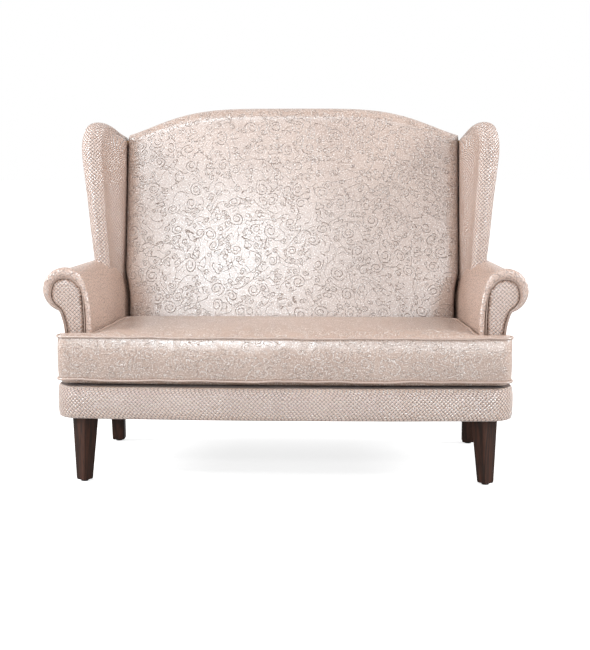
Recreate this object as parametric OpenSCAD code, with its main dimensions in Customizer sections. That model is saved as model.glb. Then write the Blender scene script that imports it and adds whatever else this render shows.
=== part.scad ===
// High back settee: a two-seat wing settee with a camel back, scroll arms with a padded roll round
// each front, one loose T-shaped seat cushion and four tapered legs. Millimetres, +Z up, front to -Y.
// The origin is on the floor under the middle of the whole settee. Left is -X and right is +X.
// The feature that takes the most skill is the scroll arm: a rolled border lofted round its front.

/* [Overall] */
// Width over the outer edges of the two scrolls
overall_w = 1458; // [1410:1:1600]
// Height of the middle of the camel back above the floor
overall_h = 1130; // [1100:5:1160]
// Depth from the bowed front of the base to the top of the outside back
overall_d = 760; // [745:5:790]

/* [Base] */
// Height of the underside of the seat rails above the floor
leg_h = 200; // [180:5:215]
// Height of the seat rails
rail_h = 96; // [90:1:100]
// Thickness of the front and rear seat rails
rail_t = 28; // [24:1:30]
// Thickness of the side seat rails, which carry the arms
side_rail_t = 36; // [32:1:38]
// How far each side of the base lies inside the scroll's outer edge
base_setback = 44; // [40:1:48]
// How far the front of the base bows forward in its middle
front_bow = 18; // [12:1:22]
// Radius of the front corners of the base
corner_r = 75; // [65:1:85]
// Thickness of the leather and wadding on the rails
border_t = 4; // [3:0.5:5]
// Thickness of the deck cloth on top of the rails
deck_t = 4; // [3:0.5:5]
// Angle by which the sides and arms close in towards the rear, degrees
toe_in = 5; // [4:0.5:6]

/* [Legs] */
// Side of the front leg at its top
front_leg_top = 57; // [52:1:60]
// Side of the front leg at the floor
front_leg_foot = 37; // [32:1:42]
// Turn of the front legs, so that an edge faces forward, degrees
front_leg_turn = 38; // [30:1:45]
// How far the foot of a front leg stands outside its top
front_leg_splay = 6; // [3:1:9]
// Side of the rear leg at its top
rear_leg_top = 46; // [42:1:50]
// Side of the rear leg at the floor
rear_leg_foot = 41; // [35:1:45]
// How far the foot of a rear leg stands behind its top
rear_leg_rake = 28; // [20:1:34]
// Rounding of the long edges of the legs
leg_round = 4; // [3:0.5:5]
// Thickness of the glide under each foot
glide_t = 5; // [4:0.5:6]

/* [Arms] */
// Height of the top of the scroll above the floor
arm_h = 646; // [630:2:660]
// Outer radius of the scroll at its front roll
scroll_r = 66; // [62:1:68]
// How far the inner face of an arm lies inside the scroll's middle
arm_inner = 80; // [76:1:84]
// How far the outer face of an arm lies outside the scroll's middle, less than zero when inside
arm_outer = 1; // [-3:1:4]
// Radius of the sweep by which the inner face swells towards the seat below the scroll
arm_sweep_r = 400; // [380:5:440]
// Distance from the front of the base to the front of the arms
arm_front = 84; // [82:1:90]
// Depth of the roll round the arm front
roll_depth = 40; // [36:1:44]
// How far the roll stands proud of the arm behind it
roll_proud = 8; // [6:1:9]
// Thickness of the arm's padding
arm_pad_t = 20; // [17:1:22]
// Thickness of the outside arm panel
outside_t = 5; // [4:0.5:6]

/* [Back] */
// How far the shoulders of the camel back lie below its middle
camel_drop = 95; // [80:5:105]
// Half the width over which the camel top falls to its shoulders
camel_half = 600; // [590:5:620]
// Rake of the back frame, degrees
back_rake = 5; // [4:0.5:6]
// How far the edge of the outside back lies inside the scroll's middle
back_in = 57; // [53:1:63]
// How far the side of the inside back lies inside the edge of the outside back
inside_in = 52; // [48:1:58]
// Thickness of the whole back at the seat
back_low_t = 189; // [180:1:198]
// Thickness of the whole back at the top of its slope
back_high_t = 119; // [110:1:128]
// Depth of the back frame
frame_d = 70; // [66:1:74]
// Thickness of the outside back panel
back_panel_t = 6; // [5:0.5:7]
// Thickness of the padding over the top rail
top_pad = 24; // [20:1:28]

/* [Wings] */
// Radius of the wing roll at its thickest
wing_roll = 33; // [30:1:35]
// How far the wing roll's middle moves outwards from the arm to its widest
wing_flare = 30; // [24:1:34]
// How far the wing's foremost roll middle stands in front of the foot of the outside back
wing_reach = 251; // [240:1:260]
// How far the middle of the roll at the top of the wing lies below the top of the back
wing_crest_drop = 68; // [64:1:80]
// How far the roll's middle lies inside the scroll's middle, low on the wing
wing_inset = 57; // [54:1:60]

/* [Cushion] */
// Height of the cushion's boxing between its two pipings
boxing_h = 129; // [120:1:135]
// Crown of the cushion's top above its piping
crown = 19; // [14:1:24]
// Depth of the cushion's ears in front of the arms
ear_depth = 77; // [74:1:78]
// Radius of the piping
piping_r = 4.5; // [3.5:0.5:5]

/* [Hidden] */

leather = "#cdb8ac";
weave_leather = "#c6b0a4";
walnut = "#3c2823";
beech = "#c9a478";
$fn = 48;

// Clearances: between soft faces, round bolts or rails and their holes, and one overrun for every cut
soft_gap = 0.3;
bolt_fit = 0.05;
over = 50;

// Levels and planes
front_y = -overall_d / 2;
base_top = leg_h + rail_h;
deck_top = base_top + deck_t;
panel_below_top = 16;
panel_rise = overall_h - panel_below_top - deck_top;
rear_y = overall_d / 2 - panel_rise * tan(back_rake);
base_half = overall_w / 2 - base_setback;
corner_x = base_half - corner_r;
corner_y = front_y + front_bow + corner_r;
arm_y = front_y + arm_front;
scroll_x = overall_w / 2 - scroll_r;
scroll_z = arm_h - scroll_r;
back_half = scroll_x - back_in;
inside_half = back_half - inside_in;
function back_y(z) = rear_y + (z - deck_top) * tan(back_rake);

// Puts a right-hand piece on the left as its mirror image
module left_hand() {
    mirror([1, 0, 0]) children();
}

// Turns an outline in X and height into a slab from y0 to y1
module slab_y(points, y0, y1) {
    translate([0, y1, 0]) rotate([90, 0, 0]) linear_extrude(height = y1 - y0) polygon(points);
}

// A plan outline raised from z0 to z1
module slab_z(points, z0, z1) {
    translate([0, 0, z0]) linear_extrude(height = z1 - z0) polygon(points);
}

function arc(x, y, r, a0, a1, n) = [for (i = [0 : n]) let(a = a0 + (a1 - a0) * i / n)
    [x + r * cos(a), y + r * sin(a)]];

// The right half of a plan outline and its mirror image, as one closed outline
function both_halves(half) = concat(half, [for (i = [len(half) - 1 : -1 : 0]) if (half[i].x > 0)
    [-half[i].x, half[i].y]]);

function mean(points) = [for (k = [0 : 2]) let(all = [for (p = points) p[k]])
    all * [for (p = points) 1] / len(points)];

// Skin over rings of equal length, closed at both ends by a fan from each end ring's middle
module skin(rings) {
    n = len(rings[0]);
    m = len(rings);
    points = concat([for (ring = rings) each ring], [mean(rings[0]), mean(rings[m - 1])]);
    sides = [for (j = [0 : m - 2]) for (i = [0 : n - 1])
        let(a = j * n + i, b = j * n + (i + 1) % n, c = b + n, d = a + n) each [[a, b, c], [a, c, d]]];
    ends = [for (i = [0 : n - 1]) let(k = (i + 1) % n)
        each [[m * n, k, i], [m * n + 1, (m - 1) * n + i, (m - 1) * n + k]]];
    polyhedron(points = points, faces = concat(sides, ends));
}

// Skin over rings that close on themselves, for a piping that runs all round
module ring_skin(rings) {
    n = len(rings[0]);
    m = len(rings);
    faces = [for (j = [0 : m - 1]) for (i = [0 : n - 1])
        let(e = (j + 1) % m, k = (i + 1) % n) each [[j * n + i, j * n + k, e * n + k],
            [j * n + i, e * n + k, e * n + i]]];
    polyhedron(points = [for (ring = rings) each ring], faces = faces);
}

// A smooth curve through the rows of a table, at t from 0 to its last row
function row(table, i) = table[max(0, min(len(table) - 1, i))];
function curve(table, t) = let(i = min(len(table) - 2, floor(t)), u = t - i,
    a = row(table, i - 1), b = row(table, i), c = row(table, i + 1), d = row(table, i + 2))
    b + u * ((c - a) + u * ((a * 2 - b * 5 + c * 4 - d) + u * (b * 3 - a - c * 3 + d))) / 2;

// Plan outline of the base: bowed front, rounded corners, sides that close in, straight rear
bow_steps = 10;
corner_steps = 8;
function base_outline(inset) = let(r = corner_r - inset, side = arc(corner_x, corner_y, r, -90, toe_in,
    corner_steps), last = side[corner_steps], y_end = rear_y - inset)
    both_halves(concat([for (i = [0 : bow_steps - 1]) let(x = corner_x * i / bow_steps)
        [x, front_y + inset + front_bow * pow(x / corner_x, 2)]], side,
        [[last.x - (y_end - last.y) * tan(toe_in), y_end], [0, y_end]]));

// Half width of the base at a depth behind its corners
function base_side(y, inset) = base_outline(inset)[bow_steps + corner_steps].x
    - (y - base_outline(inset)[bow_steps + corner_steps].y) * tan(toe_in);

// Seat rails
module rail_front() {
    color(beech) difference() {
        slab_z(base_outline(border_t), leg_h, base_top);
        slab_z(base_outline(border_t + rail_t), leg_h - over, base_top + over);
        translate([-overall_w / 2, corner_y, 0]) cube([overall_w, overall_d, overall_h]);
    }
}

module rail_side() {
    inner = border_t + side_rail_t;
    rear = rear_y - border_t - rail_t;
    color(beech) intersection() {
        slab_z([[base_side(corner_y, 0), corner_y], [base_side(rear, 0), rear],
            [base_side(rear, inner), rear], [base_side(corner_y, inner), corner_y]], leg_h, base_top);
        slab_z(base_outline(border_t), leg_h, base_top);
    }
}

module rail_rear() {
    y0 = rear_y - border_t - rail_t;
    y1 = rear_y - border_t;
    color(beech) slab_z([[-base_side(y0, border_t), y0], [base_side(y0, border_t), y0],
        [base_side(y1, border_t), y1], [-base_side(y1, border_t), y1]], leg_h, base_top);
}

cross_rail_w = 45;
cross_rail_h = 50;
module seat_cross_rail() {
    color(beech) intersection() {
        slab_z(base_outline(border_t + rail_t), leg_h, leg_h + cross_rail_h);
        translate([-cross_rail_w / 2, front_y, leg_h]) cube([cross_rail_w, overall_d, cross_rail_h]);
    }
}

// Legs: places of their bolts, which stand inside the middle of the rear legs, and of their glides
front_leg_in = 85;
front_leg_back = 61;
rear_leg_in = 48.5;
rear_leg_on = 64;
front_leg_x = base_half - front_leg_in;
front_leg_y = front_y + front_leg_back;
rear_leg_y = rear_y - rear_leg_on;
rear_bolt_x = base_side(rear_leg_y, 0) - rear_leg_in;
rear_leg_out = 8;
leg_block_h = 50;
block_reach = 150;
bolt_r = 4;
bolt_in_leg = 55;
nut_r = 7.5;
nut_t = 2;
glide_r = 11;
glide_pin_r = 1.5;
glide_pin_h = 12;
foot_chamfer = 2;
edge_steps = 3;
leg_places = [[front_leg_x, front_leg_y], [rear_bolt_x, rear_leg_y]];
glide_places = [[front_leg_x + front_leg_splay, front_leg_y],
    [rear_bolt_x + rear_leg_out, rear_leg_y + rear_leg_rake]];

module at_both_sides(places) {
    for (p = places) for (side = [-1, 1]) translate([side * p.x, p.y, 0]) children();
}

function rounded_square(side, r) = let(c = side / 2 - r) concat(arc(c, -c, r, -90, 0, edge_steps),
    arc(c, c, r, 0, 90, edge_steps), arc(-c, c, r, 90, 180, edge_steps),
    arc(-c, -c, r, 180, 270, edge_steps));

// A tapered leg from its top at the bolt plus out, down to its foot, which leans off the top, with the
// foot's rim chamfered, and holes for bolt and glide
module leg(top, foot, turn, out, lean) {
    chamfered = foot + (top - foot) * foot_chamfer / leg_h;
    function ring(side, round, z, way) = [for (p = rounded_square(side, round))
        [out + lean.x * way + p.x * cos(turn) - p.y * sin(turn),
            lean.y * way + p.x * sin(turn) + p.y * cos(turn), z]];
    color(walnut) difference() {
        skin([ring(top, leg_round, leg_h, 0),
            ring(chamfered, leg_round, glide_t + 2 * foot_chamfer, 1 - foot_chamfer / leg_h),
            ring(foot - 2 * foot_chamfer, leg_round / 2, glide_t, 1)]);
        translate([0, 0, leg_h - bolt_in_leg]) cylinder(r = bolt_r + bolt_fit, h = bolt_in_leg + over);
        translate([out + lean.x, lean.y, 0])
            cylinder(r = glide_pin_r + bolt_fit, h = glide_t + glide_pin_h);
    }
}

module front_leg() {
    translate([front_leg_x, front_leg_y, 0])
        leg(front_leg_top, front_leg_foot, front_leg_turn, 0, [front_leg_splay, 0]);
}

module rear_leg() {
    translate([rear_bolt_x, rear_leg_y, 0])
        leg(rear_leg_top, rear_leg_foot, 0, rear_leg_out, [0, rear_leg_rake]);
}

module floor_glides() {
    color("#3a3a3c") at_both_sides(glide_places) union() {
        cylinder(r = glide_r, h = glide_t);
        cylinder(r = glide_pin_r, h = glide_t + glide_pin_h);
    }
}

module leg_bolts() {
    color("#b9bcc0") at_both_sides(leg_places) translate([0, 0, leg_h - bolt_in_leg])
        cylinder(r = bolt_r, h = bolt_in_leg + leg_block_h + nut_t);
}

module leg_tee_nuts() {
    color("#b9bcc0") at_both_sides(leg_places) translate([0, 0, leg_h + leg_block_h]) difference() {
        cylinder(r = nut_r, h = nut_t);
        cylinder(r = bolt_r + bolt_fit, h = over, center = true);
    }
}

// Blocks that fill the four corners inside the rails
module corner_blocks() {
    front_in = front_y + front_bow + border_t + rail_t;
    rear_in = rear_y - border_t - rail_t;
    function front_corner(side) = [[side * (corner_x - block_reach / 2), front_in],
        [side * (corner_x + corner_r - border_t - side_rail_t), front_in],
        [side * base_side(corner_y, border_t + side_rail_t), corner_y],
        [side * base_side(corner_y + block_reach, border_t + side_rail_t), corner_y + block_reach]];
    function rear_corner(side) = [[side * base_side(rear_in, border_t + side_rail_t), rear_in],
        [side * (base_side(rear_in, border_t + side_rail_t) - block_reach), rear_in],
        [side * base_side(rear_in - block_reach, border_t + side_rail_t), rear_in - block_reach]];
    color(beech) for (side = [-1, 1]) for (corner = [front_corner(side), rear_corner(side)])
        difference() {
            intersection() {
                slab_z(corner, leg_h, leg_h + leg_block_h);
                slab_z(base_outline(border_t + rail_t), leg_h, leg_h + leg_block_h);
            }
            at_both_sides(leg_places) translate([0, 0, leg_h - over])
                cylinder(r = bolt_r + bolt_fit, h = leg_block_h + 2 * over);
        }
}

// Zigzag springs, each with its two clips on the rails
wire = 3.6;
spring_count = 8;
spring_pitch = 2 * inside_half / (spring_count + 1);
spring_half = 24;
spring_drop = 8;
clip_t = 1.5;
clip_l = 16;
spring_z = base_top - spring_drop - wire;
spring_bends = 20;
bend_steps = 6;
function spring_x(i) = (i - (spring_count - 1) / 2) * spring_pitch;
front_rail_line = [for (i = [0 : bow_steps]) base_outline(border_t + rail_t)[i]];
function spring_y0(x) = clip_t + max([for (side = [-1, 1])
    lookup(abs(x + side * clip_l / 2), front_rail_line)]);
spring_y1 = rear_y - border_t - rail_t - clip_t;

module spring(x) {
    y0 = spring_y0(x) + wire / 2;
    run = spring_y1 - wire / 2 - y0;
    n = spring_bends * bend_steps;
    function middle(t) = [spring_half * sin(180 * spring_bends * t), y0 + run * t];
    function turned(t) = let(d = [spring_half * PI * spring_bends * cos(180 * spring_bends * t), run])
        [d.y, -d.x] / norm(d);
    path = [for (i = [0 : n]) i / n];
    translate([x, 0, spring_z]) linear_extrude(height = wire) polygon(concat(
        [for (t = path) middle(t) + turned(t) * wire / 2],
        [for (i = [n : -1 : 0]) middle(path[i]) - turned(path[i]) * wire / 2]));
}

module seat_springs() {
    color("#8d9094") for (i = [0 : spring_count - 1]) spring(spring_x(i));
}

// A clip holds the wire's end between two lips that stand off the rail's inner face
module clip(x, y, side) {
    reach = wire + clip_t;
    low = spring_z - clip_t;
    translate([x - clip_l / 2, 0, 0]) rotate([90, 0, 90]) linear_extrude(height = clip_l)
        polygon([[y, low], [y + side * reach, low], [y + side * reach, spring_z],
            [y + side * clip_t, spring_z], [y + side * clip_t, spring_z + wire],
            [y + side * reach, spring_z + wire], [y + side * reach, spring_z + wire + clip_t],
            [y, spring_z + wire + clip_t]]);
}

module spring_clips() {
    color("#8d9094") for (i = [0 : spring_count - 1]) {
        clip(spring_x(i), spring_y0(spring_x(i)) - clip_t, 1);
        clip(spring_x(i), spring_y1 + clip_t, -1);
    }
}

hessian_t = 1.2;
module seat_inner_slab(z0, z1) {
    y0 = corner_y;
    y1 = rear_y - border_t - rail_t;
    inner = border_t + side_rail_t;
    slab_z([[-corner_x, front_y + border_t + rail_t + front_bow], [corner_x, front_y + border_t + rail_t
        + front_bow], [base_side(y0, inner), y0], [base_side(y1, inner), y1],
        [-base_side(y1, inner), y1], [-base_side(y0, inner), y0]], z0, z1);
}

module seat_hessian() {
    color("#b59a6a") seat_inner_slab(spring_z + wire + clip_t, spring_z + wire + clip_t + hessian_t);
}

module seat_felt() {
    color("#d8d4c8") seat_inner_slab(spring_z + wire + clip_t + hessian_t, base_top);
}

// Arms in their own frame: x outwards from the scroll's middle, y back from the arm front
module arm_place() {
    translate([scroll_x, arm_y, 0]) rotate([0, 0, toe_in]) children();
}

sweep_x = arm_sweep_r - arm_inner;
sweep_z = -sqrt(pow(arm_sweep_r - scroll_r, 2) - pow(sweep_x, 2));
sweep_a = asin(-sweep_z / (arm_sweep_r - scroll_r));
sweep_steps = 6;
scroll_steps = 22;
scroll_end_a = 255;
neck_flare = 12;
neck_drop = 6;
neck_to_face = 50;

// Widths of the roll at the seat, the sweep, the scroll's top, its outer side and its end
roll_w_side = 17;
roll_w_top = 31;
roll_w_outer = 25;
roll_w_end = 4;
function scroll_w(a) = lookup(a, [[sweep_a, (roll_w_side + roll_w_top) / 2], [90, roll_w_top],
    [180, roll_w_outer], [scroll_end_a, roll_w_end]]);

// The arm's outline from inside the seat over the scroll, drawn in by w along the sweep and w(a) on the
// scroll: x outwards from the scroll's middle, z above the floor
function arm_side(w, scroll_ws) = concat([[w - arm_inner, deck_top]],
    [for (i = [0 : sweep_steps - 1]) let(a = sweep_a * i / sweep_steps, r = arm_sweep_r - w)
        [sweep_x - r * cos(a), scroll_z + sweep_z + r * sin(a)]],
    [for (i = [0 : scroll_steps]) let(a = sweep_a + (scroll_end_a - sweep_a) * i / scroll_steps,
        r = scroll_r - scroll_ws[i]) [-r * cos(a), scroll_z + r * sin(a)]]);
function even(w) = [for (i = [0 : scroll_steps]) w];
roll_ws = [for (i = [0 : scroll_steps]) scroll_w(sweep_a + (scroll_end_a - sweep_a) * i / scroll_steps)];
function outer_edge(w) = [[arm_outer + neck_flare - w, scroll_z - scroll_r - neck_drop],
    [arm_outer - w, scroll_z - scroll_r - neck_to_face], [arm_outer - w, deck_top]];
outer_line = concat(arm_side(0, even(0)), outer_edge(0));
inner_line = concat(arm_side(roll_w_side, roll_ws), outer_edge(roll_w_end));
arm_line = arm_side(roll_proud, even(roll_proud));
pad_inner_line = arm_side(roll_proud + arm_pad_t, even(roll_proud + arm_pad_t));

function backwards(points) = [for (i = [len(points) - 1 : -1 : 0]) points[i]];

// Space of the back frame, and everything behind the outside back
module raked() {
    translate([0, rear_y, deck_top]) rotate([-back_rake, 0, 0]) children();
}
camel_power = 2.2;
function camel(x) = overall_h
    - camel_drop * (1 - cos(180 * pow(min(1, abs(x) / camel_half), camel_power))) / 2;
camel_steps = 24;
function raked_z(z) = (z - deck_top) / cos(back_rake);
function camel_line(half, below) = [for (i = [0 : camel_steps]) let(x = half * (2 * i / camel_steps - 1))
    [x, raked_z(camel(x) - below)]];
frame_half = back_half - outside_t;
frame_top = camel_line(frame_half, top_pad);
module frame_space() {
    raked() slab_y(concat([[frame_half, -over], [-frame_half, -over]], frame_top),
        -back_panel_t - frame_d, over);
}
module back_space() {
    frame_space();
    raked() {
        slab_y(concat([[back_half, -over], [-back_half, -over]],
            camel_line(back_half, panel_below_top)), -back_panel_t, over);
    }
}
module behind_back(inside) {
    raked() translate([-overall_w / 2, -inside, -overall_h / 2])
        cube([overall_w, overall_d, 2 * overall_h]);
}
module in_front_of_arm_pad() {
    translate([0, front_y - over, 0]) cube([overall_w, arm_front + roll_depth + over, overall_h]);
}

arm_run = overall_d - arm_front;
core_r = scroll_r - roll_proud - arm_pad_t - soft_gap;
module arm_core(around) {
    arm_place() translate([0, -over, scroll_z]) rotate([-90, 0, 0])
        cylinder(r = core_r + around, h = arm_run + over);
}

module arm_top_rail() {
    color(beech) difference() {
        arm_core(0);
        in_front_of_arm_pad();
        back_space();
        behind_back(outside_t);
    }
}

arm_base_rail_h = 50;
module arm_base_rail() {
    inner = roll_proud + arm_pad_t - arm_inner;
    outer = arm_outer - outside_t;
    color(beech) difference() {
        arm_place() slab_y([[inner, deck_top], [outer, deck_top], [outer, deck_top + arm_base_rail_h],
            [inner, deck_top + arm_base_rail_h]], -over, arm_run);
        in_front_of_arm_pad();
        back_space();
        behind_back(outside_t);
    }
}

facing_t = 9;
facing_set_in = 7;
module arm_facing() {
    color(weave_leather) translate([scroll_x, arm_y, 0])
        slab_y(inner_line, facing_set_in, facing_set_in + facing_t);
}

module arm_front_board() {
    color(beech) translate([scroll_x, arm_y, 0]) slab_y(inner_line, facing_set_in + facing_t, roll_depth);
}

// The roll's section at one station: from the arm round the front to the facing, as shares of the
// way from the outer to the inner line and of the roll's depth
roll_shares = [[0, 0.45], [0.03, 0.22], [0.18, 0.06], [0.42, 0], [0.68, 0.01], [0.9, 0.09], [1, 0.24]];
module arm_border() {
    function station(o, i, b) = concat([[b.x, roll_depth, b.y]],
        [for (s = roll_shares) let(p = o + (i - o) * s[0]) [p.x, roll_depth * s[1], p.y]],
        [[i.x, roll_depth, i.y]]);
    behind = concat(arm_line, outer_edge(roll_w_end / 2));
    color(weave_leather) translate([scroll_x, arm_y, 0])
        skin([for (k = [len(outer_line) - 1 : -1 : 0]) station(outer_line[k], inner_line[k], behind[k])]);
}

// Padding over the arm from the seat round the scroll, closed at the rear by a thin end
module arm_pad() {
    color(weave_leather) difference() {
        union() {
            arm_place() slab_y(concat(arm_line, backwards(pad_inner_line)), -over, arm_run);
            intersection() {
                arm_place() slab_y(concat(arm_line, [[arm_outer - outside_t, scroll_z],
                    [arm_outer - outside_t, deck_top]]), -over, arm_run);
                behind_back(outside_t);
            }
        }
        in_front_of_arm_pad();
        back_space();
        behind_back(0);
        wing_board_blank();
    }
}

module outside_arm() {
    top = scroll_z - scroll_r + roll_proud - soft_gap;
    color(weave_leather) difference() {
        arm_place() slab_y([[arm_outer, deck_top], [arm_outer, top], [arm_outer - outside_t, top],
            [arm_outer - outside_t, deck_top]], -over, arm_run);
        in_front_of_arm_pad();
        back_space();
        behind_back(0);
    }
}

// The arm as one solid, a soft gap larger, for the pieces that stand on it
module arm_solid() {
    w = roll_proud - soft_gap;
    arm_place() slab_y(concat(arm_side(w, even(w)), [[arm_outer, scroll_z - scroll_r]],
        [[arm_outer, deck_top]]), -over, arm_run + over);
}

// Base upholstery
module seat_deck() {
    color("#b8a89c") slab_z(base_outline(border_t), base_top, deck_top);
}

module base_border() {
    color(weave_leather) difference() {
        slab_z(base_outline(0), leg_h - border_t / 2, deck_top);
        slab_z(base_outline(border_t), leg_h - over, deck_top + over);
    }
}

dust_inset = 12;
dust_t = 1.5;
leg_hole_r = 44;
module dust_cover() {
    color("#26262a") difference() {
        slab_z(base_outline(dust_inset), leg_h - dust_t, leg_h);
        at_both_sides(leg_places) translate([0, 0, leg_h - over])
            cylinder(r = leg_hole_r, h = 2 * over);
    }
}

// Back frame, in the plane of the raked back
post_w = 32;
top_rail_h = 70;
lower_rail_h = 70;
lower_rail_up = 40;
stile_w = 45;
stile_x = 190;
web_t = 2;
web_w = 50;
member_front = -back_panel_t - frame_d + 2 * web_t;
shoulder_z = raked_z(camel(frame_half) - top_pad);
rail_under = shoulder_z - top_rail_h;
rail_half = frame_half - post_w;
lower_top = lower_rail_up + lower_rail_h;

module back_post() {
    color(beech) intersection() {
        frame_space();
        raked() slab_y([[rail_half, -over], [frame_half, -over], [frame_half, shoulder_z + over],
            [rail_half, shoulder_z + over]], -back_panel_t - frame_d, -back_panel_t);
        translate([0, front_y, deck_top]) cube([overall_w, 2 * overall_d, overall_h]);
    }
}

module back_top_rail() {
    color(beech) intersection() {
        raked() slab_y(concat([[frame_half, -over], [-frame_half, -over]], frame_top), member_front, 0);
        raked() slab_y([[rail_half, rail_under], [-rail_half, rail_under], [-rail_half, panel_rise + over],
            [rail_half, panel_rise + over]], member_front, -back_panel_t);
    }
}

module back_lower_rail() {
    color(beech) raked() slab_y([[-rail_half, lower_rail_up], [rail_half, lower_rail_up],
        [rail_half, lower_top], [-rail_half, lower_top]], member_front, member_front + rail_t);
}

module back_stiles() {
    color(beech) raked() for (side = [-1, 1]) translate([side * stile_x - stile_w / 2, 0, 0])
        slab_y([[0, lower_top], [stile_w, lower_top], [stile_w, rail_under], [0, rail_under]],
            member_front, member_front + rail_t);
}

web_count = 6;
web_rows = 4;
module back_webbing() {
    low = lower_rail_up + lower_rail_h / 2;
    high = rail_under + top_rail_h / 2;
    color("#7d6b4f") raked() {
        for (i = [0 : web_count - 1]) let(x = (2 * i + 1 - web_count) * rail_half / web_count)
            slab_y([[x - web_w / 2, low], [x + web_w / 2, low], [x + web_w / 2, high],
                [x - web_w / 2, high]], member_front - web_t, member_front);
        for (j = [0 : web_rows - 1]) let(z = lower_top + (rail_under - lower_top) * (j + 0.5) / web_rows)
            slab_y([[-rail_half, z], [rail_half, z], [rail_half, z + web_w], [-rail_half, z + web_w]],
                member_front - 2 * web_t, member_front - web_t);
    }
}

module outside_back() {
    color(weave_leather) raked() slab_y(concat([[back_half, 0], [-back_half, 0]],
        camel_line(back_half, panel_below_top)), -back_panel_t, 0);
}

// Inside back: its front face slopes, its top rolls over the rail, its sides roll back to the wings
slope_z = 440;
side_roll = 50;
top_roll = 34;
top_steps = 4;
rear_steps = 2;
pad_foot_z = deck_top + soft_gap;
pad_side_gap = 3;
slope_top_drop = 30;
slope_top_z = overall_h - slope_top_drop;
slope_low_y = rear_y - back_low_t;
function slope_y(z) = slope_low_y
    + max(0, z - slope_z) * (back_y(slope_top_z) - back_high_t - slope_low_y) / (slope_top_z - slope_z);
// Share of the half width, and how far the face has fallen back there as a share of the side roll
side_shares = [[0, 0], [0.15, 0], [0.3, 0.01], [0.42, 0.02], [0.54, 0.035], [0.66, 0.06], [0.77, 0.1],
    [0.86, 0.15], [0.92, 0.24], [0.965, 0.42], [0.99, 0.68], [1, 1]];
// Inner face of the arm where the inside back's side passes it, above the floor
function arm_face(z) = let(rise = z - scroll_z - sweep_z, r = arm_sweep_r - roll_proud)
    scroll_x + sweep_x - sqrt(pow(r, 2) - pow(max(0, min(r, rise)), 2));
function arm_pass(z) = (back_y(z) - back_panel_t - frame_d - arm_y) * tan(toe_in);
function pad_half(z) = min(inside_half, arm_face(z) - arm_pass(z) - pad_side_gap);
// Heights up the front face as shares of the column, and the round top as shares of its depth
face_shares = [0.04, 0.165, 0.29, 0.34, 0.38, 0.46, 0.58, 0.7, 0.82, 0.91];
module inside_back_form() {
    function column(u, fall) = let(top = camel(u * inside_half), rise = top - pad_foot_z,
        y_rear = back_y(top) - back_panel_t, y_face = slope_y(top - top_roll) + fall * side_roll)
        concat([[u * pad_half(pad_foot_z), back_y(pad_foot_z) - back_panel_t, pad_foot_z],
            [u * pad_half(pad_foot_z), slope_y(pad_foot_z) + fall * side_roll, pad_foot_z]],
        [for (s = face_shares) let(z = pad_foot_z + rise * s)
            [u * pad_half(z), slope_y(z) + fall * side_roll, z]],
        [for (i = [0 : top_steps]) let(a = 90 * i / top_steps)
            [u * inside_half, y_face + top_roll * (1 - cos(a)), top - top_roll * (1 - sin(a))]],
        [for (i = [0 : rear_steps - 1]) let(a = 90 * i / rear_steps)
            [u * inside_half, y_rear - panel_below_top * (1 - sin(a)), top - panel_below_top * (1 - cos(a))]],
        [[u * inside_half, back_y(top - panel_below_top) - back_panel_t, top - panel_below_top]]);
    columns = [for (s = side_shares) column(s[0], s[1])];
    skin(concat([for (i = [len(columns) - 1 : -1 : 1]) [for (p = columns[i]) [-p.x, p.y, p.z]]], columns));
}

foam_in = 62;
foam_half = inside_half - foam_in;
foam_cover = 14;
module back_foam_form() {
    z0 = deck_top + foam_cover;
    z1 = overall_h - camel_drop - 2 * foam_cover;
    rotate([90, 0, 90]) translate([0, 0, -foam_half]) linear_extrude(height = 2 * foam_half) polygon([
        [back_y(z0) - back_panel_t - frame_d, z0], [slope_y(z0) + foam_cover, z0],
        [slope_y(slope_z) + foam_cover, slope_z], [slope_y(z1) + foam_cover, z1],
        [back_y(z1) - back_panel_t - frame_d, z1]]);
}

module back_foam() {
    color("#e8e2c8") difference() {
        back_foam_form();
        back_space();
    }
}

module inside_back() {
    color(leather) difference() {
        inside_back_form();
        back_space();
        back_foam_form();
        arm_solid();
        left_hand() arm_solid();
    }
}

// Wings: sections that turn about the back post from the arm up and over the crest. Each row gives the
// roll's middle as shares of the wing's depth and height, of its flare and of its radius, and then the
// height of the section's root as a share of the wing's height
wing_shares = [
    [0.02, 0, 0, 0.73, 0],
    [0.02, 0.14, 0.07, 0.76, 0.12],
    [0.007, 0.32, 0.3, 0.82, 0.25],
    [0, 0.52, 0.53, 0.88, 0.37],
    [0.007, 0.71, 0.8, 0.95, 0.46],
    [0.027, 0.86, 1, 1, 0.52],
    [0.087, 0.95, 0.93, 0.985, 0.555],
    [0.195, 1, 0.7, 0.94, 0.58],
    [0.4, 0.99, 0.18, 0.86, 0.6],
    [0.67, 0.949, -0.4, 0.78, 0.615],
    [1, 0.912, -0.85, 0.68, 0.625]];
wing_foot_drop = 20;
wing_front_y = rear_y - wing_reach;
wing_crest_z = overall_h - wing_crest_drop;
wing_foot_z = scroll_z - wing_foot_drop;
wing_rise = wing_crest_z - wing_foot_z;
wing_steps = 3;
wing_past = 20;
wing_pad_gap = 0.6;
roll_steps = 10;
// On each side of the wing: the way from the roll to the root at which it passes its middle point and
// meets the root's line, and how far it has come in at the middle point, as shares
outer_mid_share = 0.35;
outer_in_share = 0.35;
outer_root_share = 0.7;
inner_mid_share = 0.45;
inner_in_share = 0.6;
inner_root_share = 0.55;
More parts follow.
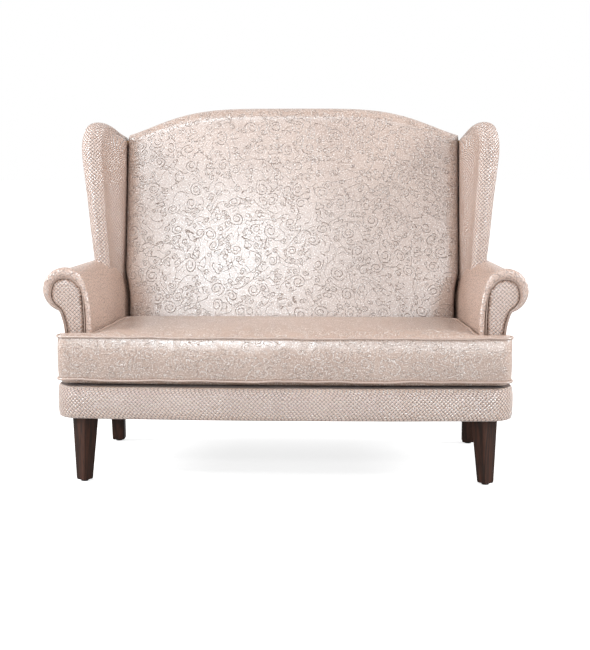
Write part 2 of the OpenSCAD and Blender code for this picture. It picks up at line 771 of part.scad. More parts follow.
// Over the crest the inner face meets the root's line sooner: by how much in all, from which share of the
// wing's depth on, and over how much of it
crest_root_share = 0.4;
crest_from_share = 0.1;
crest_over_share = 0.4;
function wing_section(t) = let(s = curve(wing_shares, t), root_z = wing_foot_z + wing_rise * s[4],
    root_y = back_y(root_z) + wing_past,
    edge_y = wing_front_y + (root_y - wing_front_y) * s[0],
    edge_z = wing_foot_z + wing_rise * s[1], edge_x = scroll_x - wing_inset + wing_flare * s[2],
    r = wing_roll * s[3], d = [root_y - edge_y, root_z - edge_z], far = norm(d), to = d / far,
    inner_root = inside_half + wing_pad_gap, inner_x = edge_x - r, outer_x = edge_x + r,
    over = max(0, min(1, (s[0] - crest_from_share) / crest_over_share)),
    inner_far = far * (inner_root_share - crest_root_share * over))
    let(flat = concat([[back_half, far], [back_half, far * outer_root_share]],
        [[outer_x + (back_half - outer_x) * outer_in_share, far * outer_mid_share]],
        [for (i = [0 : roll_steps]) let(a = 180 * i / roll_steps) [edge_x + r * cos(a), -r * sin(a)]],
        [[inner_x + (inner_root - inner_x) * inner_in_share, inner_far * inner_mid_share],
        [inner_root, inner_far], [inner_root, far]]))
    [for (p = flat) [p[0], edge_y + to[0] * p[1], edge_z + to[1] * p[1]]];
module wing_form() {
    last = (len(wing_shares) - 1) * wing_steps;
    skin([for (i = [0 : last]) wing_section(i / wing_steps)]);
}

// The wing's timber board: the wing's own side profile, drawn in, standing on the arm's core
board_t = 18;
board_in = 14;
board_lean = 2;
board_foot_up = 8;
module wing_board_blank() {
    steps = (len(wing_shares) - 1) * wing_steps;
    profile = [for (i = [0 : steps - wing_steps]) let(s = curve(wing_shares, i / wing_steps),
        root_z = wing_foot_z + wing_rise * s[4], root_y = back_y(root_z) + wing_past,
        edge_y = wing_front_y + (root_y - wing_front_y) * s[0],
        edge_z = wing_foot_z + wing_rise * s[1], d = [root_y - edge_y, root_z - edge_z])
        [edge_y, edge_z] + d / norm(d) * board_in];
    rear_low = back_y(wing_foot_z) + over;
    translate([scroll_x - wing_inset, wing_front_y, wing_foot_z])
        rotate([0, board_lean, toe_in]) translate([-board_t / 2, 0, 0])
        rotate([90, 0, 90]) linear_extrude(height = board_t)
        polygon([for (p = concat(profile, [[rear_low, profile[len(profile) - 1].y],
            [rear_low, wing_foot_z]])) p - [wing_front_y, wing_foot_z]]);
}

module wing_board() {
    color(beech) difference() {
        wing_board_blank();
        translate([0, front_y, scroll_z + board_foot_up - overall_h])
            cube([overall_w, 2 * overall_d, overall_h]);
        arm_core(bolt_fit);
        back_space();
    }
}

module wing_pad() {
    color(weave_leather) difference() {
        wing_form();
        wing_board_blank();
        arm_solid();
        back_space();
        behind_back(0);
    }
}

// Loose cushion: a T in plan, with ears in front of the arms
cushion_gap = 1.5;
ear_front_r = 31;
ear_rear_r = 14;
notch_r = 12;
rear_corner_r = 24;
cushion_set_in = 3;
rear_gap = 11;
low_piping_z = base_top + 21;
top_piping_z = low_piping_z + boxing_h;
cushion_half = base_half - piping_r + cushion_set_in / 2;
ear_x = cushion_half - ear_front_r;
cushion_front = front_y + cushion_set_in + piping_r;
ear_y = front_y + ear_depth;
cushion_rear = slope_low_y - rear_gap;
function cushion_side(y) = scroll_x - arm_inner - cushion_gap - piping_r - (y - arm_y) * tan(toe_in);
front_steps = 8;
ear_steps = 5;
turn_steps = 3;
notch_steps = 2;
side_steps = 4;
cushion_outline = let(bow = front_bow - cushion_set_in, corner = cushion_front + bow + ear_front_r,
    side = cushion_side(ear_y + notch_r), rear = cushion_side(cushion_rear))
    both_halves(concat(
        [for (i = [0 : front_steps - 1]) let(x = ear_x * i / front_steps)
            [x, cushion_front + bow * pow(x / ear_x, 2)]],
        arc(ear_x, corner, ear_front_r, -90, 0, ear_steps),
        arc(cushion_half - ear_rear_r, ear_y - piping_r - ear_rear_r, ear_rear_r, 0, 90, turn_steps),
        arc(side + notch_r, ear_y - piping_r + notch_r, notch_r, 270, 180, notch_steps),
        [for (i = [1 : side_steps - 1])
            let(y = ear_y + (cushion_rear - rear_corner_r - ear_y) * i / side_steps) [cushion_side(y), y]],
        arc(rear - rear_corner_r, cushion_rear - rear_corner_r, rear_corner_r, -toe_in, 90, turn_steps),
        [[(rear - rear_corner_r) / 2, cushion_rear], [0, cushion_rear]]));

// Unit vector pointing out of the cushion's outline at its point j
function cushion_out(j) = let(n = len(cushion_outline),
    d = cushion_outline[(j + 1) % n] - cushion_outline[(j + n - 1) % n]) [d.y, -d.x] / norm(d);

// A panel rises from its seam over a rim, then runs in to a rounded rectangle inside the T and on to
// the middle. Each row: share of the rim crossed, way to the rectangle and past it to the middle, and
// shares of the crown reached on the top and on the bottom, which lies flat on the deck in its middle
panel_rim = 20;
panel_in = 75;
panel_middle = [0, (cushion_front + cushion_rear) / 2];
stay_share = 0.1;
panel_shares = [[0, 0, 0, 0], [0.18, 0, 0.15, 0.2], [0.5, 0, 0.32, 0.45], [1, 0, 0.5, 0.7],
    [1, 0.45, 0.76, 0.95], [1, 1, 0.92, 1], [1, 1.5, 0.99, 1]];
function held(v, low, high) = let(c = max(low, min(high, v))) c + (v - c) * stay_share;
function panel_point(j, rim, way) = let(p = cushion_outline[j], edge = p - cushion_out(j) * panel_rim * rim,
    side = cushion_side(cushion_rear) - panel_in,
    goal = [held(p.x, -side, side), held(p.y, cushion_front + panel_in, cushion_rear - panel_in)])
    way <= 1 ? edge + (goal - edge) * way : goal + (panel_middle - goal) * (way - 1);
function panel_ring(row, z) = [for (j = [0 : len(cushion_outline) - 1])
    let(p = panel_point(j, row[0], row[1])) [p.x, p.y, z]];
module cushion_form() {
    skin(concat([for (i = [len(panel_shares) - 1 : -1 : 0]) let(row = panel_shares[i])
        panel_ring(row, top_piping_z + crown * row[2])],
        [for (row = panel_shares) panel_ring(row, low_piping_z + (deck_top - low_piping_z) * row[3])]));
}

foam_wrap = 10;
module cushion_foam_form() {
    n = len(cushion_outline);
    slab_z([for (j = [0 : n - 1]) cushion_outline[j] - cushion_out(j) * foam_wrap],
        low_piping_z, top_piping_z);
}

// The zip's opening through the rear of the cover, and the zip that fills its outer part
zip_short = 224;
zip_l = 2 * inside_half - zip_short;
zip_w = 26;
zip_t = 2;
zip_z = (low_piping_z + top_piping_z) / 2;
module zip_tape(depth) {
    translate([-zip_l / 2, cushion_rear - depth, zip_z - zip_w / 2]) cube([zip_l, depth, zip_w]);
}

module cushion_cover() {
    color(leather) difference() {
        cushion_form();
        cushion_foam_form();
        translate([0, over / 2, 0]) zip_tape(over);
    }
}

module cushion_foam() {
    color("#efe7c6") cushion_foam_form();
}

// Piping: a round tube along the seam, centred just outside it
piping_sides = 6;
module piping(z) {
    color(leather) ring_skin([for (j = [0 : len(cushion_outline) - 1]) let(p = cushion_outline[j],
        out = cushion_out(j)) [for (k = [0 : piping_sides - 1]) let(a = 360 * k / piping_sides)
            [p.x + out.x * piping_r * cos(a), p.y + out.y * piping_r * cos(a), z + piping_r * sin(a)]]]);
}

slider_l = 14;
slider_w = 9;
slider_t = 2.6;
tab_l = 24;
tab_w = 6;
zip_gap = 0.1;
module cushion_zip() {
    color("#a79489") zip_tape(zip_t);
}

module zip_slider() {
    y0 = cushion_rear + zip_gap;
    color("#b59a55") translate([-zip_l / 2, y0, zip_z]) {
        translate([0, 0, -slider_w / 2]) cube([slider_l, slider_t, slider_w]);
        translate([(slider_l - tab_w) / 2, slider_t / 2, -slider_w / 2 - tab_l])
            cube([tab_w, slider_t / 2, tab_l + zip_gap]);
    }
}

left_hand() front_leg();  // front_leg_left
front_leg();  // front_leg_right
left_hand() rear_leg();  // rear_leg_left
rear_leg();  // rear_leg_right
floor_glides();
leg_bolts();
leg_tee_nuts();
corner_blocks();
rail_front();  // seat_rail_front
rail_rear();  // seat_rail_rear
left_hand() rail_side();  // seat_rail_left
rail_side();  // seat_rail_right
seat_cross_rail();
seat_springs();
spring_clips();
seat_hessian();
seat_felt();
seat_deck();
base_border();
dust_cover();
left_hand() back_post();  // back_post_left
back_post();  // back_post_right
back_top_rail();
back_lower_rail();
back_stiles();
back_webbing();
back_foam();
inside_back();
outside_back();
left_hand() arm_front_board();  // arm_front_board_left
arm_front_board();  // arm_front_board_right
left_hand() arm_top_rail();  // arm_top_rail_left
arm_top_rail();  // arm_top_rail_right
left_hand() arm_base_rail();  // arm_base_rail_left
arm_base_rail();  // arm_base_rail_right
left_hand() arm_pad();  // arm_pad_left
arm_pad();  // arm_pad_right
left_hand() arm_facing();  // arm_facing_left
arm_facing();  // arm_facing_right
left_hand() arm_border();  // arm_border_left
arm_border();  // arm_border_right
left_hand() outside_arm();  // outside_arm_left
outside_arm();  // outside_arm_right
left_hand() wing_board();  // wing_frame_left
wing_board();  // wing_frame_right
left_hand() wing_pad();  // wing_left
wing_pad();  // wing_right
cushion_cover();
cushion_foam();
piping(top_piping_z);  // cushion_piping_top
piping(low_piping_z);  // cushion_piping_bottom
cushion_zip();
zip_slider();
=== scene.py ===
import math
import bpy
import numpy as np
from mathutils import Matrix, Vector
from mathutils.geometry import delaunay_2d_cdt


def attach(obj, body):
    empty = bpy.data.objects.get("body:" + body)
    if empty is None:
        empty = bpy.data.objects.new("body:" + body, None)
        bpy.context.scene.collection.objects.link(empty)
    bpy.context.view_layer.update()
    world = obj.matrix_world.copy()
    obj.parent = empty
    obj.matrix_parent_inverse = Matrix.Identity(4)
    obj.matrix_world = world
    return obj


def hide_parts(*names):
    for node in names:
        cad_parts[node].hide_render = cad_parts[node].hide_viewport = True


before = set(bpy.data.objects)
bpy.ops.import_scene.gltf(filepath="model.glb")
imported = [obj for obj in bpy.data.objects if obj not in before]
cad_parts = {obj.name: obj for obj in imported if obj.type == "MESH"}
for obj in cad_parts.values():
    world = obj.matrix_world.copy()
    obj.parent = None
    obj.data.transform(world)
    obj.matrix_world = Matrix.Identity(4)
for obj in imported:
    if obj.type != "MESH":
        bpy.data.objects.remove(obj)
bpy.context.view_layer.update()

# The CAD model's sizes, in millimetres
FRONT_Y, TOP_Z, DECK_TOP = -380.0, 1130.0, 300.0
TOE, RAKE, BOARD_LEAN = math.radians(5), math.radians(5), math.radians(2)
RAKE_TAN = math.tan(RAKE)
REAR_Y = 380 - (TOP_Z - 16 - DECK_TOP) * RAKE_TAN
BASE_HALF, CORNER_R, BOW = 685.0, 75.0, 18.0
SCROLL_X, SCROLL_Z, SCROLL_R = 663.0, 580.0, 66.0
ARM_Y, ARM_INNER, SWEEP_R = -296.0, 80.0, 400.0
SWEEP_X = SWEEP_R - ARM_INNER
SWEEP_Z = -math.sqrt((SWEEP_R - SCROLL_R) ** 2 - SWEEP_X ** 2)
SWEEP_A = math.asin(-SWEEP_Z / (SWEEP_R - SCROLL_R))
ARM_L, PAD_INSET, SCROLL_END = 676, 8.0, 255
BACK_HALF, INSIDE_HALF = 606.0, 554.0
PAD_LOW_Y, PAD_ROLL, PAD_REAR_ROLL, PANEL_DROP = REAR_Y - 189, 34, 16, 16
CUSHION_REAR = PAD_LOW_Y - 11
WING_Y, WING_FOOT, WING_CREST = REAR_Y - 251, 560.0, 1062.0
WING_X = SCROLL_X - 57
SEAM_LOW, SEAM_TOP = 317.0, 446.0
PIPING_R = 4.5


def back_y(z):
    """Where the outside back lies at a height."""
    return REAR_Y + (z - DECK_TOP) * RAKE_TAN


def camel(x):
    """Height of the back's top line."""
    return TOP_Z - 95 * (1 - np.cos(np.pi * np.minimum(1, np.abs(x) / 600) ** 2.2)) / 2


def slope_y(z):
    """Where the front of the inside back lies at a height."""
    top = back_y(1100.0) - 119
    return PAD_LOW_Y + np.maximum(0, z - 440) * (top - PAD_LOW_Y) / 660


def curve(table, t):
    """Smooth curve through the rows of a table, at the parameters t."""
    table = np.asarray(table, float)
    t = np.atleast_1d(t)
    i = np.clip(np.floor(t).astype(int), 0, len(table) - 2)
    u = (t - i)[:, None]
    a, b, c, d = (table[np.clip(i + k, 0, len(table) - 1)] for k in (-1, 0, 1, 2))
    return b + u * ((c - a) + u * ((2 * a - 5 * b + 4 * c - d) + u * (3 * b - a - 3 * c + d))) / 2


def arc(x, y, r, a0, a1, n):
    """Points on an arc about x, y, between two angles in degrees."""
    a = np.radians(np.linspace(a0, a1, n + 1))
    return np.stack([x + r * np.cos(a), y + r * np.sin(a)], 1)


def lengths(points, closed=False):
    """Distance along a line of points, from 0."""
    if closed:
        points = np.concatenate([points, points[:1]])
    return np.concatenate([[0], np.cumsum(np.linalg.norm(np.diff(points, axis=0), axis=1))])


def resample(points, step, closed=False):
    """The same line through even points, about a step apart."""
    if closed:
        points = np.concatenate([points, points[:1]])
    s = lengths(points)
    n = max(2, int(round(s[-1] / step)))
    at = np.linspace(0, s[-1], n + 1)
    out = np.stack([np.interp(at, s, points[:, k]) for k in range(points.shape[1])], 1)
    return out[:-1] if closed else out


def both_halves(half):
    """A closed outline from its right-hand half."""
    half = np.asarray(half)
    other = half[::-1][half[::-1][:, 0] > 1e-6] * [-1, 1]
    return np.concatenate([half, other])


def outward(outline):
    """Unit vectors out of a closed counterclockwise outline."""
    d = np.roll(outline, -1, 0) - np.roll(outline, 1, 0)
    n = np.stack([d[:, 1], -d[:, 0]], 1)
    return n / np.linalg.norm(n, axis=1)[:, None]


def turn(outline):
    """Twice the area within a closed outline, above 0 where it runs counterclockwise."""
    after = np.roll(outline, -1, 0)
    return np.sum(outline[:, 0] * after[:, 1] - after[:, 0] * outline[:, 1])


def counterclockwise(outline):
    return outline if turn(outline) > 0 else outline[::-1]


def edge_distance(points, outline):
    """Distance of each point from a closed outline."""
    a, b = outline, np.roll(outline, -1, 0)
    best = np.full(len(points), 1e9)
    for p, q in zip(a, b):
        d = q - p
        t = np.clip(((points - p) @ d) / max(d @ d, 1e-9), 0, 1)
        best = np.minimum(best, np.linalg.norm(points - p - t[:, None] * d, axis=1))
    return best


def inside(points, outline):
    """Which points lie within a closed outline."""
    x, y = points[:, 0], points[:, 1]
    odd = np.zeros(len(points), bool)
    for (x0, y0), (x1, y1) in zip(outline, np.roll(outline, -1, 0)):
        if y0 != y1:
            cross = ((y0 > y) != (y1 > y)) & (x < (x1 - x0) * (y - y0) / (y1 - y0) + x0)
            odd ^= cross
    return odd


def fill(outline, step):
    """Even triangles over a closed outline: points (the outline's own first), triangles, edge distances."""
    low, high = outline.min(0), outline.max(0)
    rows = np.arange(low[1] + step / 2, high[1], step * 0.866)
    spots = np.array([[x, y] for k, y in enumerate(rows)
                      for x in np.arange(low[0] + step * (0.5 if k % 2 else 1), high[0], step)])
    far = edge_distance(spots, outline)
    spots = spots[inside(spots, outline) & (far > step * 0.6)]
    points = np.concatenate([outline, spots])
    n = len(outline)
    verts, _, faces, _, _, _ = delaunay_2d_cdt([Vector(p) for p in points],
                                               [(i, (i + 1) % n) for i in range(n)], [], 1, 1e-5)
    points = np.array([[v.x, v.y] for v in verts])
    return points, [list(f) for f in faces], edge_distance(points, outline)


def linked(name, data):
    ob = bpy.data.objects.new(name, data)
    bpy.context.scene.collection.objects.link(ob)
    return ob


def new_object(name, points, faces, uvs):
    """A smooth-shaded mesh from points in millimetres and a UV per face corner in metres."""
    mesh = bpy.data.meshes.new(name)
    mesh.from_pydata((np.asarray(points) / 1000).tolist(), [], faces)
    layer = mesh.uv_layers.new(name="UVMap")
    layer.data.foreach_set("uv", (np.asarray(uvs, float) / 1000).ravel())
    mesh.polygons.foreach_set("use_smooth", [True] * len(mesh.polygons))
    mesh.update()
    return linked(name, mesh)


def no_map(faces):
    """A map for small pieces, whose materials don't read one."""
    return [[0, 0]] * sum(len(face) for face in faces)


def grid_faces(m, n, closed, ring=False):
    """Quads between m rows of n points, and the row and column of each corner in the UV map."""
    faces, corners = [], []
    for j in range(m if ring else m - 1):
        for i in range(n if closed else n - 1):
            k, e = (i + 1) % n, (j + 1) % m
            faces.append([j * n + i, j * n + k, e * n + k, e * n + i])
            corners.append([(j, i), (j, i + 1), (j + 1, i + 1), (j + 1, i)])
    return faces, corners


def grid_uv(p, closed):
    """Lengths along the middle row and column of a grid, as its UV."""
    ring = np.concatenate([p, p[:, :1]], 1) if closed else p
    u = np.zeros(ring.shape[:2])
    u[:, 1:] = np.cumsum(np.linalg.norm(np.diff(ring, axis=1), axis=2), 1)
    mid = ring.shape[1] // 2
    u = u - u[:, mid:mid + 1]
    v = np.zeros(ring.shape[:2])
    v[1:] = np.cumsum(np.linalg.norm(np.diff(ring, axis=0), axis=2), 0)
    v = 0.5 * v + 0.5 * v[:, mid:mid + 1]
    return np.stack([u, v], 2)


def grid(name, p, closed=False, flip=False, uv=None, panel=None, ring=False):
    """A quad surface through an array of points, rows by columns. closed joins the last column to the first,
    and ring the last row. panel gives the first rows and columns a map of their own: map, rows, columns."""
    p = np.asarray(p, float)
    m, n = p.shape[:2]
    uv = grid_uv(p, closed) if uv is None else uv
    faces, corners = grid_faces(m, n, closed, ring)
    plane, panel_rows, panel_columns = panel or (uv, 0, 0)
    uvs = [[(plane if face[0][0] < panel_rows and face[0][1] < panel_columns else uv)[c] for c in face]
           for face in corners]
    if flip:
        faces = [f[::-1] for f in faces]
        uvs = [u[::-1] for u in uvs]
    return new_object(name, p.reshape(-1, 3), faces, [c for face in uvs for c in face])


def mirrored(p):
    return np.asarray(p) * [-1, 1, 1]


def grid_pair(p, inward=False, panel=None):
    """The maker of a right-hand grid and of its mirror image, for both_sides."""
    uv = grid_uv(p, False)
    return lambda name, left: grid(name, mirrored(p) if left else p, flip=left == inward, uv=uv, panel=panel)


def filled(name, points, tris, plan, flip=False):
    """A surface of triangles, with its plan as its map."""
    faces = [t[::-1] for t in tris] if flip else tris
    return new_object(name, points, faces, [plan[i] for t in faces for i in t])


def filled_pair(points, tris, plan, rear=False):
    """The maker of a right-hand filled outline and of its mirror image. It faces forward, or to the rear."""
    return lambda name, left: filled(name, mirrored(points) if left else points, tris, plan, left != rear)


def kept_before_back(p, gap):
    """Moves a grid's points that pass the outside back forward to a gap in front of it."""
    p[:, :, 1] = np.minimum(p[:, :, 1], back_y(p[:, :, 2]) - gap)


def puff(ob, held, pressure, cap, frames=18, stiff=18.0, bend=0.6, slack=0.0):
    """Cloth under pressure from inside, pinned at the held points; the result moves no point further than cap."""
    start = surface_points(ob)
    group = ob.vertex_groups.new(name="held")
    group.add([int(i) for i in held], 1.0, "REPLACE")
    mod = ob.modifiers.new("cloth", "CLOTH")
    mod.collision_settings.use_collision = False
    mod.collision_settings.use_self_collision = False
    s = mod.settings
    s.vertex_group_mass = "held"
    s.quality = 5
    s.mass = 0.3
    s.tension_stiffness = s.compression_stiffness = stiff
    s.shear_stiffness = stiff / 2
    s.bending_stiffness = bend
    s.shrink_min = -slack
    s.use_pressure = True
    s.uniform_pressure_force = pressure
    s.effector_weights.gravity = 0
    mod.point_cache.frame_start = 1
    mod.point_cache.frame_end = frames
    for f in range(1, frames + 1):
        bpy.context.scene.frame_set(f)
    graph = bpy.context.evaluated_depsgraph_get()
    d = surface_points(ob.evaluated_get(graph)) - start
    ob.modifiers.remove(mod)
    ob.vertex_groups.remove(group)
    bpy.context.scene.frame_set(1)
    far = np.linalg.norm(d, axis=1)[:, None]
    out = start + d * (cap * np.tanh(far / cap) / np.maximum(far, 1e-6))
    ob.data.vertices.foreach_set("co", (out / 1000).ravel())
    ob.data.update()


def surface_points(ob):
    return np.array([v.co[:] for v in ob.data.vertices]) * 1000


def surface_normals(ob):
    return np.array([v.normal[:] for v in ob.data.vertices])


def tube(name, path, normals, r, sides=12):
    """A closed tube round a closed path. normals point out of the surface that it lies on."""
    path = np.asarray(path)
    along = np.roll(path, -1, 0) - np.roll(path, 1, 0)
    along /= np.linalg.norm(along, axis=1)[:, None]
    up = np.cross(normals, along)
    up /= np.linalg.norm(up, axis=1)[:, None]
    out = np.cross(along, up)
    a = 2 * np.pi * np.arange(sides) / sides
    p = path[None] + r * (np.cos(a)[:, None, None] * out[None] + np.sin(a)[:, None, None] * up[None])
    s = lengths(path, True)
    uv = np.stack(np.broadcast_arrays(s[None], (r * np.append(a, 2 * np.pi))[:, None]), 2)
    return grid(name, p, closed=True, flip=True, uv=uv, ring=True)


def stitches(name, path, normals, pitch=7.5, length=5.0, r=0.75):
    """Small rounded stitches that lie along a closed path on a surface."""
    s = lengths(path, True)
    ring = np.concatenate([path, path[:1]])
    norm = np.concatenate([normals, normals[:1]])
    count = int(s[-1] / pitch)
    points, faces = [], []
    side = np.radians([0, 60, 120, 180, 240, 300])
    for at in (np.arange(count) + 0.5) * s[-1] / count:
        a, b, n = (np.array([np.interp(x, s, line[:, k]) for k in range(3)])
                   for x, line in ((at - length / 2, ring), (at + length / 2, ring), (at, norm)))
        along = (b - a) / np.linalg.norm(b - a)
        n = n - along * (n @ along)
        n /= np.linalg.norm(n)
        w = np.cross(along, n)
        base = len(points)
        for share, rr in ((0, 0.3), (0.2, 1), (0.8, 1), (1, 0.3)):
            mid = a + (b - a) * share + n * 0.15
            points += [mid + r * rr * (np.cos(t) * w + 0.8 * np.sin(t) * n) for t in side]
        ends = [list(range(5, -1, -1)), list(range(18, 24))]
        faces += [[base + i for i in face] for face in grid_faces(4, 6, True)[0] + ends]
    return new_object(name, points, faces, no_map(faces))


# ---- materials

def rgb(r, g, b):
    """A colour as it is seen on screen, from 0 to 255, for a shader."""
    def one(c):
        c /= 255
        return c / 12.92 if c <= 0.04045 else ((c + 0.055) / 1.055) ** 2.4
    return (one(r), one(g), one(b), 1.0)


def darker(colour, share):
    return tuple(c * share for c in colour[:3]) + (1,)


class Net:
    """Makes the nodes of one material or group."""

    def __init__(self, tree):
        self.tree = tree

    def node(self, kind, inputs=(), **values):
        """A node with its values, and its inputs by place or by name."""
        n = self.tree.nodes.new(kind)
        for k, v in values.items():
            setattr(n, k, v)
        for k, v in inputs.items() if isinstance(inputs, dict) else enumerate(inputs):
            self.put(n.inputs[k], v)
        return n

    def put(self, socket, value):
        if isinstance(value, bpy.types.NodeSocket):
            self.tree.links.new(value, socket)
        else:
            socket.default_value = value

    def math(self, op, *args):
        return self.node("ShaderNodeMath", args, operation=op).outputs[0]

    def add(self, a, b):
        return self.math("ADD", a, b)

    def sub(self, a, b):
        return self.math("SUBTRACT", a, b)

    def mul(self, a, b):
        return self.math("MULTIPLY", a, b)

    def most(self, a, b):
        return self.math("MAXIMUM", a, b)

    def gap(self, a, b):
        """How far apart two values are."""
        return self.math("ABSOLUTE", self.sub(a, b))

    def place(self, kind="Object"):
        return self.node("ShaderNodeTexCoord").outputs[kind]

    def vector(self, op, *args):
        return self.node("ShaderNodeVectorMath", args, operation=op).outputs[0]

    def split(self, v):
        return self.node("ShaderNodeSeparateXYZ", (v,)).outputs

    def step(self, value, low, high, to_low=0.0, to_high=1.0):
        """A soft step: to_low where value is low or less, to_high where it is high or more."""
        return self.node("ShaderNodeMapRange", (value, low, high, to_low, to_high),
                         interpolation_type="SMOOTHSTEP").outputs[0]

    def mix(self, factor, a, b):
        return self.node("ShaderNodeMix", {0: factor, 6: a, 7: b}, data_type="RGBA").outputs[2]

    def noise(self, v, scale, detail=2.0, rough=0.5, distort=0.0, colour=False):
        n = self.node("ShaderNodeTexNoise", dict(Vector=v, Scale=scale, Detail=detail, Roughness=rough,
                                                 Distortion=distort))
        return n.outputs["Color" if colour else "Fac"]

    def voronoi(self, v, scale, random=1.0):
        return self.node("ShaderNodeTexVoronoi", dict(Vector=v, Scale=scale, Randomness=random),
                         voronoi_dimensions="2D").outputs

    def cells(self, v, size, random):
        """Voronoi cells of a size in metres: distance and angle from the cell's middle, and three random numbers."""
        out = self.voronoi(v, 1 / size, random)
        x, y, _ = self.split(self.vector("SUBTRACT", v, out["Position"]))
        r = self.math("SQRT", self.add(self.mul(x, x), self.mul(y, y)))
        return r, self.math("ARCTAN2", y, x), self.split(out["Color"])

    def bump(self, height, distance, strength=1.0, normal=None):
        inputs = dict(Strength=strength, Distance=distance, Height=height)
        if normal is not None:
            inputs["Normal"] = normal
        return self.node("ShaderNodeBump", inputs).outputs[0]


def finish(net, shader, **values):
    """Sets a shader's inputs by name."""
    for k, v in values.items():
        net.put(shader.inputs[k.replace("_", " ")], v)


def new_material(name, **values):
    mat = bpy.data.materials.new(name)
    mat.use_nodes = True
    net = Net(mat.node_tree)
    shader = mat.node_tree.nodes["Principled BSDF"]
    finish(net, shader, **values)
    return mat, net, shader


def scroll_lines(net, v):
    """Fine lines of scrolling leaves: two sizes of spiral, petals, long stems and curling outlines. 1 on a line."""
    warp = net.vector("SUBTRACT", net.noise(v, 14.0, 1.0, colour=True), (0.5, 0.5, 0.5))
    v = net.vector("ADD", v, net.vector("MULTIPLY", warp, (0.03, 0.03, 0.03)))
    lines, clear = [], None
    for size, random, turn, reach, width in ((0.07, 0.8, 0.75, 0.4, 0.0013), (0.036, 0.9, 0.9, 0.38, 0.0012)):
        r, angle, (c0, c1, c2) = net.cells(v, size, random)
        angle = net.math("DIVIDE", angle, 2 * math.pi)
        hand = net.math("SIGN", net.sub(c0, 0.5))
        wind = net.math("DIVIDE", net.math("LOGARITHM", net.most(r, 1e-5), math.e), turn)
        f = net.math("FRACT", net.add(net.add(net.mul(angle, hand), wind), net.add(c1, 40.0)))
        line = net.step(net.mul(net.gap(f, 0.5), net.mul(r, turn)), width * 0.5, width, 1.0, 0.0)
        edge = net.mul(net.add(net.mul(c2, 0.5), 0.5), size * reach)
        here = net.math("GREATER_THAN", c2, 0.35)
        open_to = net.mul(net.math("LESS_THAN", r, edge), here)
        line = net.mul(net.mul(line, open_to), net.step(r, size * 0.09, size * 0.11))
        lines.append(line if clear is None else net.mul(line, clear))
        shut = net.sub(1.0, open_to)
        clear = shut if clear is None else net.mul(clear, shut)
    r, angle, (c0, c1, _) = net.cells(v, 0.033, 0.9)
    angle = net.add(angle, net.mul(c1, 6.28))
    petal = net.math("ABSOLUTE", net.math("COSINE", net.mul(angle, 1.5)))
    edge = net.mul(net.add(net.mul(petal, 0.62), 0.38), 0.0125)
    leaf = net.mul(net.step(net.gap(r, edge), 0.0006, 0.0012, 1.0, 0.0), net.math("GREATER_THAN", c0, 0.6))
    lines.append(net.mul(leaf, clear))
    for scale, times, thin, some in ((19.0, 6.0, 0.034, 0.48), (7.5, 7.0, 0.018, 0.35)):
        curl = net.math("FRACT", net.mul(net.noise(v, scale, 0.0), times))
        curl = net.step(net.gap(curl, 0.5), thin * 0.5, thin, 1.0, 0.0)
        place = net.step(net.noise(v, 15.0 + scale / 4, 0.0), some, some + 0.02)
        lines.append(net.mul(net.mul(curl, clear), place))
    out = lines[0]
    for line in lines[1:]:
        out = net.most(out, line)
    return out


def basket(net, v, pitch=0.0086):
    """Height of a basket weave laid on the slant, from 0 in the grooves to 1 on the strands."""
    x, y, _ = net.split(v)
    a = net.add(net.math("DIVIDE", net.add(x, y), pitch * math.sqrt(2)), 500.0)
    b = net.add(net.math("DIVIDE", net.sub(x, y), pitch * math.sqrt(2)), 500.0)
    odd = net.math("MODULO", net.add(net.math("FLOOR", a), net.math("FLOOR", b)), 2.0)
    fa, fb = net.math("FRACT", a), net.math("FRACT", b)
    swap = net.sub(1.0, odd)
    across = net.add(net.mul(fa, odd), net.mul(fb, swap))
    along = net.add(net.mul(fb, odd), net.mul(fa, swap))
    def dome(f, power):
        return net.sub(1.0, net.math("POWER", net.gap(net.mul(f, 2.0), 1.0), power))
    return net.mul(dome(across, 2.2), dome(along, 3.5))


